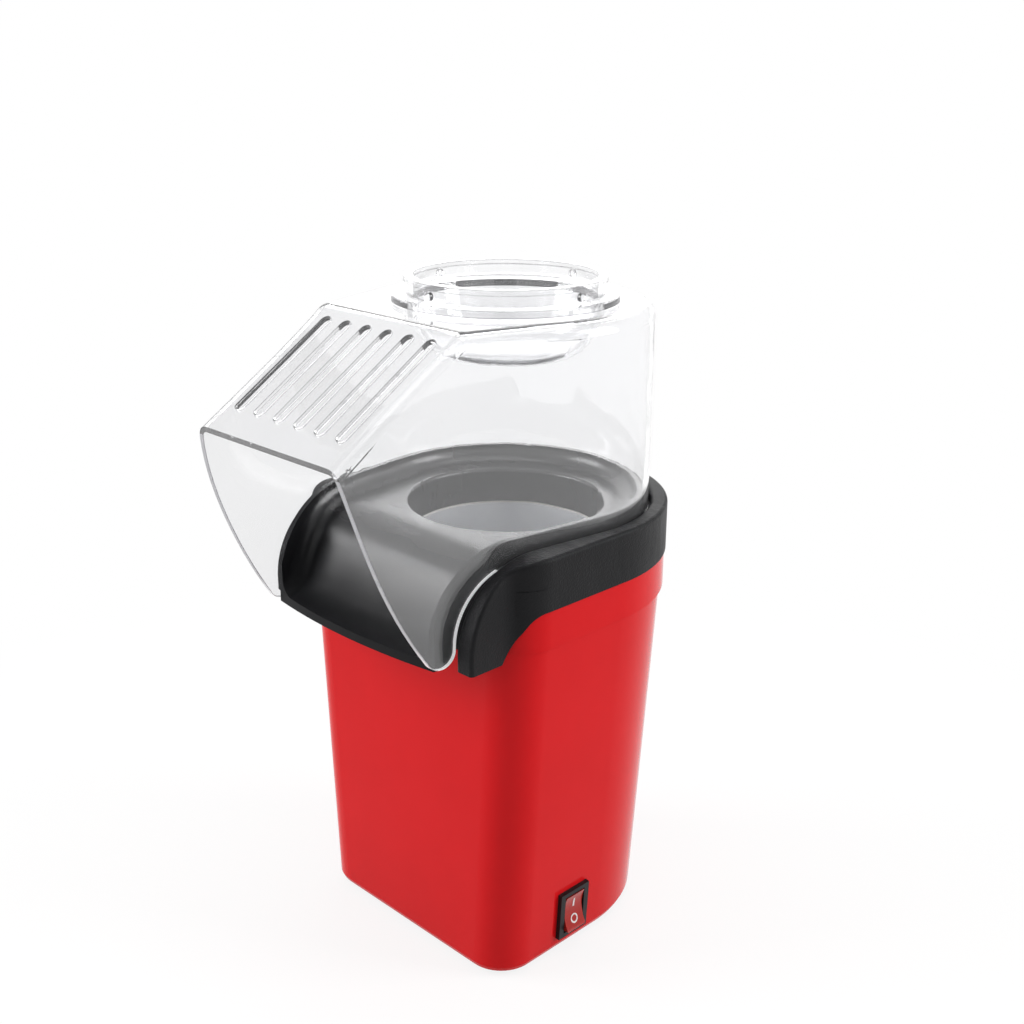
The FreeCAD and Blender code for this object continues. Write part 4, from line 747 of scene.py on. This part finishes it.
def print_on_rocker(piece):
    only(piece)
    bpy.ops.object.transform_apply(location=True, rotation=True, scale=True)
    finish_modifier(
        piece, "SHRINKWRAP", target=nodes["rocker_button"], wrap_method="PROJECT",
        use_project_x=True, use_negative_direction=True, use_positive_direction=False,
    )
    finish_modifier(piece, "SOLIDIFY", thickness=INK_THICK, offset=INK_OUTSIDE)
    in_edit_mode(piece)
    bpy.ops.mesh.normals_make_consistent(inside=False)
    bpy.ops.object.mode_set(mode="OBJECT")
    bpy.ops.object.shade_smooth_by_angle(angle=MARK_SMOOTH)
    piece.data.materials.append(finishes["mark_white"])
    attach(piece, "rocker")
    print("mark:", piece.name, len(piece.data.polygons), "faces")


finishes["mark_white"] = moulded(
    "white_printing_ink", colour(0.80, 0.78, 0.77), colour(0.74, 0.72, 0.71),
    low=0.40, high=0.55, grain_scale=2500.0, grain_depth=0.00001, gloss=0.3,
)

# %% Bar
BAR_WIDE, BAR_HIGH, BAR_Z = 0.0009, 0.0040, 0.0226
BAR_CUTS = 5
bpy.ops.object.select_all(action="DESELECT")
bpy.ops.mesh.primitive_plane_add(
    size=1.0, location=(MARK_START, MARK_Y, BAR_Z), rotation=(0, math.radians(90), 0),
)
bar = bpy.context.object
bar.name = "rocker_bar_mark"
bar.scale = (BAR_HIGH, BAR_WIDE, 1.0)
in_edit_mode(bar)
bpy.ops.mesh.subdivide(number_cuts=BAR_CUTS)
bpy.ops.object.mode_set(mode="OBJECT")
print_on_rocker(bar)

# %% Ring
RING_RADIUS, RING_STROKE, RING_Z = 0.0020, 0.0006, 0.0150
RING_SIDES = 48
bpy.ops.object.select_all(action="DESELECT")
bpy.ops.mesh.primitive_circle_add(
    vertices=RING_SIDES, radius=RING_RADIUS, fill_type="NGON",
    location=(MARK_START, MARK_Y, RING_Z), rotation=(0, math.radians(90), 0),
)
ring = bpy.context.object
ring.name = "rocker_ring_mark"
in_edit_mode(ring)
bpy.ops.mesh.inset(thickness=0.5 * RING_STROKE)
bpy.ops.mesh.inset(thickness=0.5 * RING_STROKE)
bpy.ops.mesh.delete(type="FACE")
bpy.ops.object.mode_set(mode="OBJECT")
print_on_rocker(ring)

# %% [markdown]
# ## The lit edge of the hood
# Light that enters a clear sheet runs along inside it and comes out at its cut edge, so
# the lower edge of the hood glows where it stands against the black tray. That glow is a
# painted
# highlight: the edge is taken from a merged copy of the hood, as thin frosted skin on its
# lower end faces.

# %% Lit edge
SKIN, LIFT, MERGE = 0.0003, 0.00005, 0.000001
SIDE_START, EDGE_TOP, SEAT_LEVEL, EDGE_BACK = 0.036, 0.224, 0.178, 0.030
SEAT_FACING, SIDE_FACING, DOWN_FACING = -0.95, 0.6, 0.3
EDGE_SMOOTH = math.radians(35)


def on_lower_edge(face):
    place, normal = face.center, face.normal
    seated = place.z > SEAT_LEVEL and normal.z < SEAT_FACING
    level = place.z < EDGE_TOP and place.y < EDGE_BACK and not seated
    across = abs(place.x) > SIDE_START and abs(normal.x) < SIDE_FACING
    return level and across and normal.z < DOWN_FACING


lit_edge = bpy.data.objects.new("hood_lit_edge", nodes["hood"].data.copy())
bpy.context.collection.objects.link(lit_edge)
lit_edge.data.materials.clear()
in_edit_mode(lit_edge)
bpy.ops.mesh.customdata_custom_splitnormals_clear()
bpy.ops.mesh.remove_doubles(threshold=MERGE)
bpy.ops.object.mode_set(mode="OBJECT")
in_edit_mode(lit_edge, lambda face: not on_lower_edge(face))
bpy.ops.mesh.delete(type="FACE")
bpy.ops.mesh.select_all(action="SELECT")
bpy.ops.transform.shrink_fatten(value=LIFT)
bpy.ops.object.mode_set(mode="OBJECT")
print("lit edge:", len(lit_edge.data.polygons), "faces before its skin")
finish_modifier(lit_edge, "SOLIDIFY", thickness=SKIN, offset=-1.0)
bpy.ops.object.shade_smooth_by_angle(angle=EDGE_SMOOTH)

# %% [markdown]
# ## How the edge glows
# The tongues end low, near the bright table, and their edge is almost white. Further up
# at the front the edge is only grey. One frosted finish paints both: its colour goes from
# a painted grey shade to a painted pale highlight along Y, so no seam shows where the tongue
# begins. A little light of its own at the tongues is a painted glow, standing for the light
# that runs along inside the sheet.

# %% Finish of the lit edge
# the skin's pale colour is a painted highlight for the bright line at the hood's lower edge
finishes["lit_edge"] = moulded(
    "hood_edge_painted_glow", colour(0.93, 0.93, 0.94), colour(0.86, 0.86, 0.88),
    low=0.25, high=0.40, grain_scale=800.0, grain_depth=0.00001,
)
GLOW_START, GLOW_END = -0.066, -0.054
# the grey at the front is painted shade, and the pale at the tongues is painted highlight
PAINTED_SHADE_AHEAD = (0.42, 0.42, 0.44, 1.0)
PAINTED_EDGE_GLOW = 0.35
tree = finishes["lit_edge"].node_tree
shader = tree.nodes["Principled BSDF"]
pale = shader.inputs["Base Color"].links[0].from_socket
glow = rise_along_y(tree, GLOW_START, GLOW_END)
shade = tree.nodes.new("ShaderNodeMix")
shade.data_type = "RGBA"
shade.inputs["A"].default_value = PAINTED_SHADE_AHEAD
tree.links.new(glow, shade.inputs["Factor"])
tree.links.new(pale, shade.inputs["B"])
tree.links.new(shade.outputs["Result"], shader.inputs["Base Color"])
# painted glow: the edge gives light of its own, though it is no lamp
tree.links.new(glow, shader.inputs["Emission Color"])
shader.inputs["Emission Strength"].default_value = PAINTED_EDGE_GLOW
lit_edge.data.materials.append(finishes["lit_edge"])
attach(lit_edge, "hood")
print("lit edge: pale behind y =", GLOW_END)
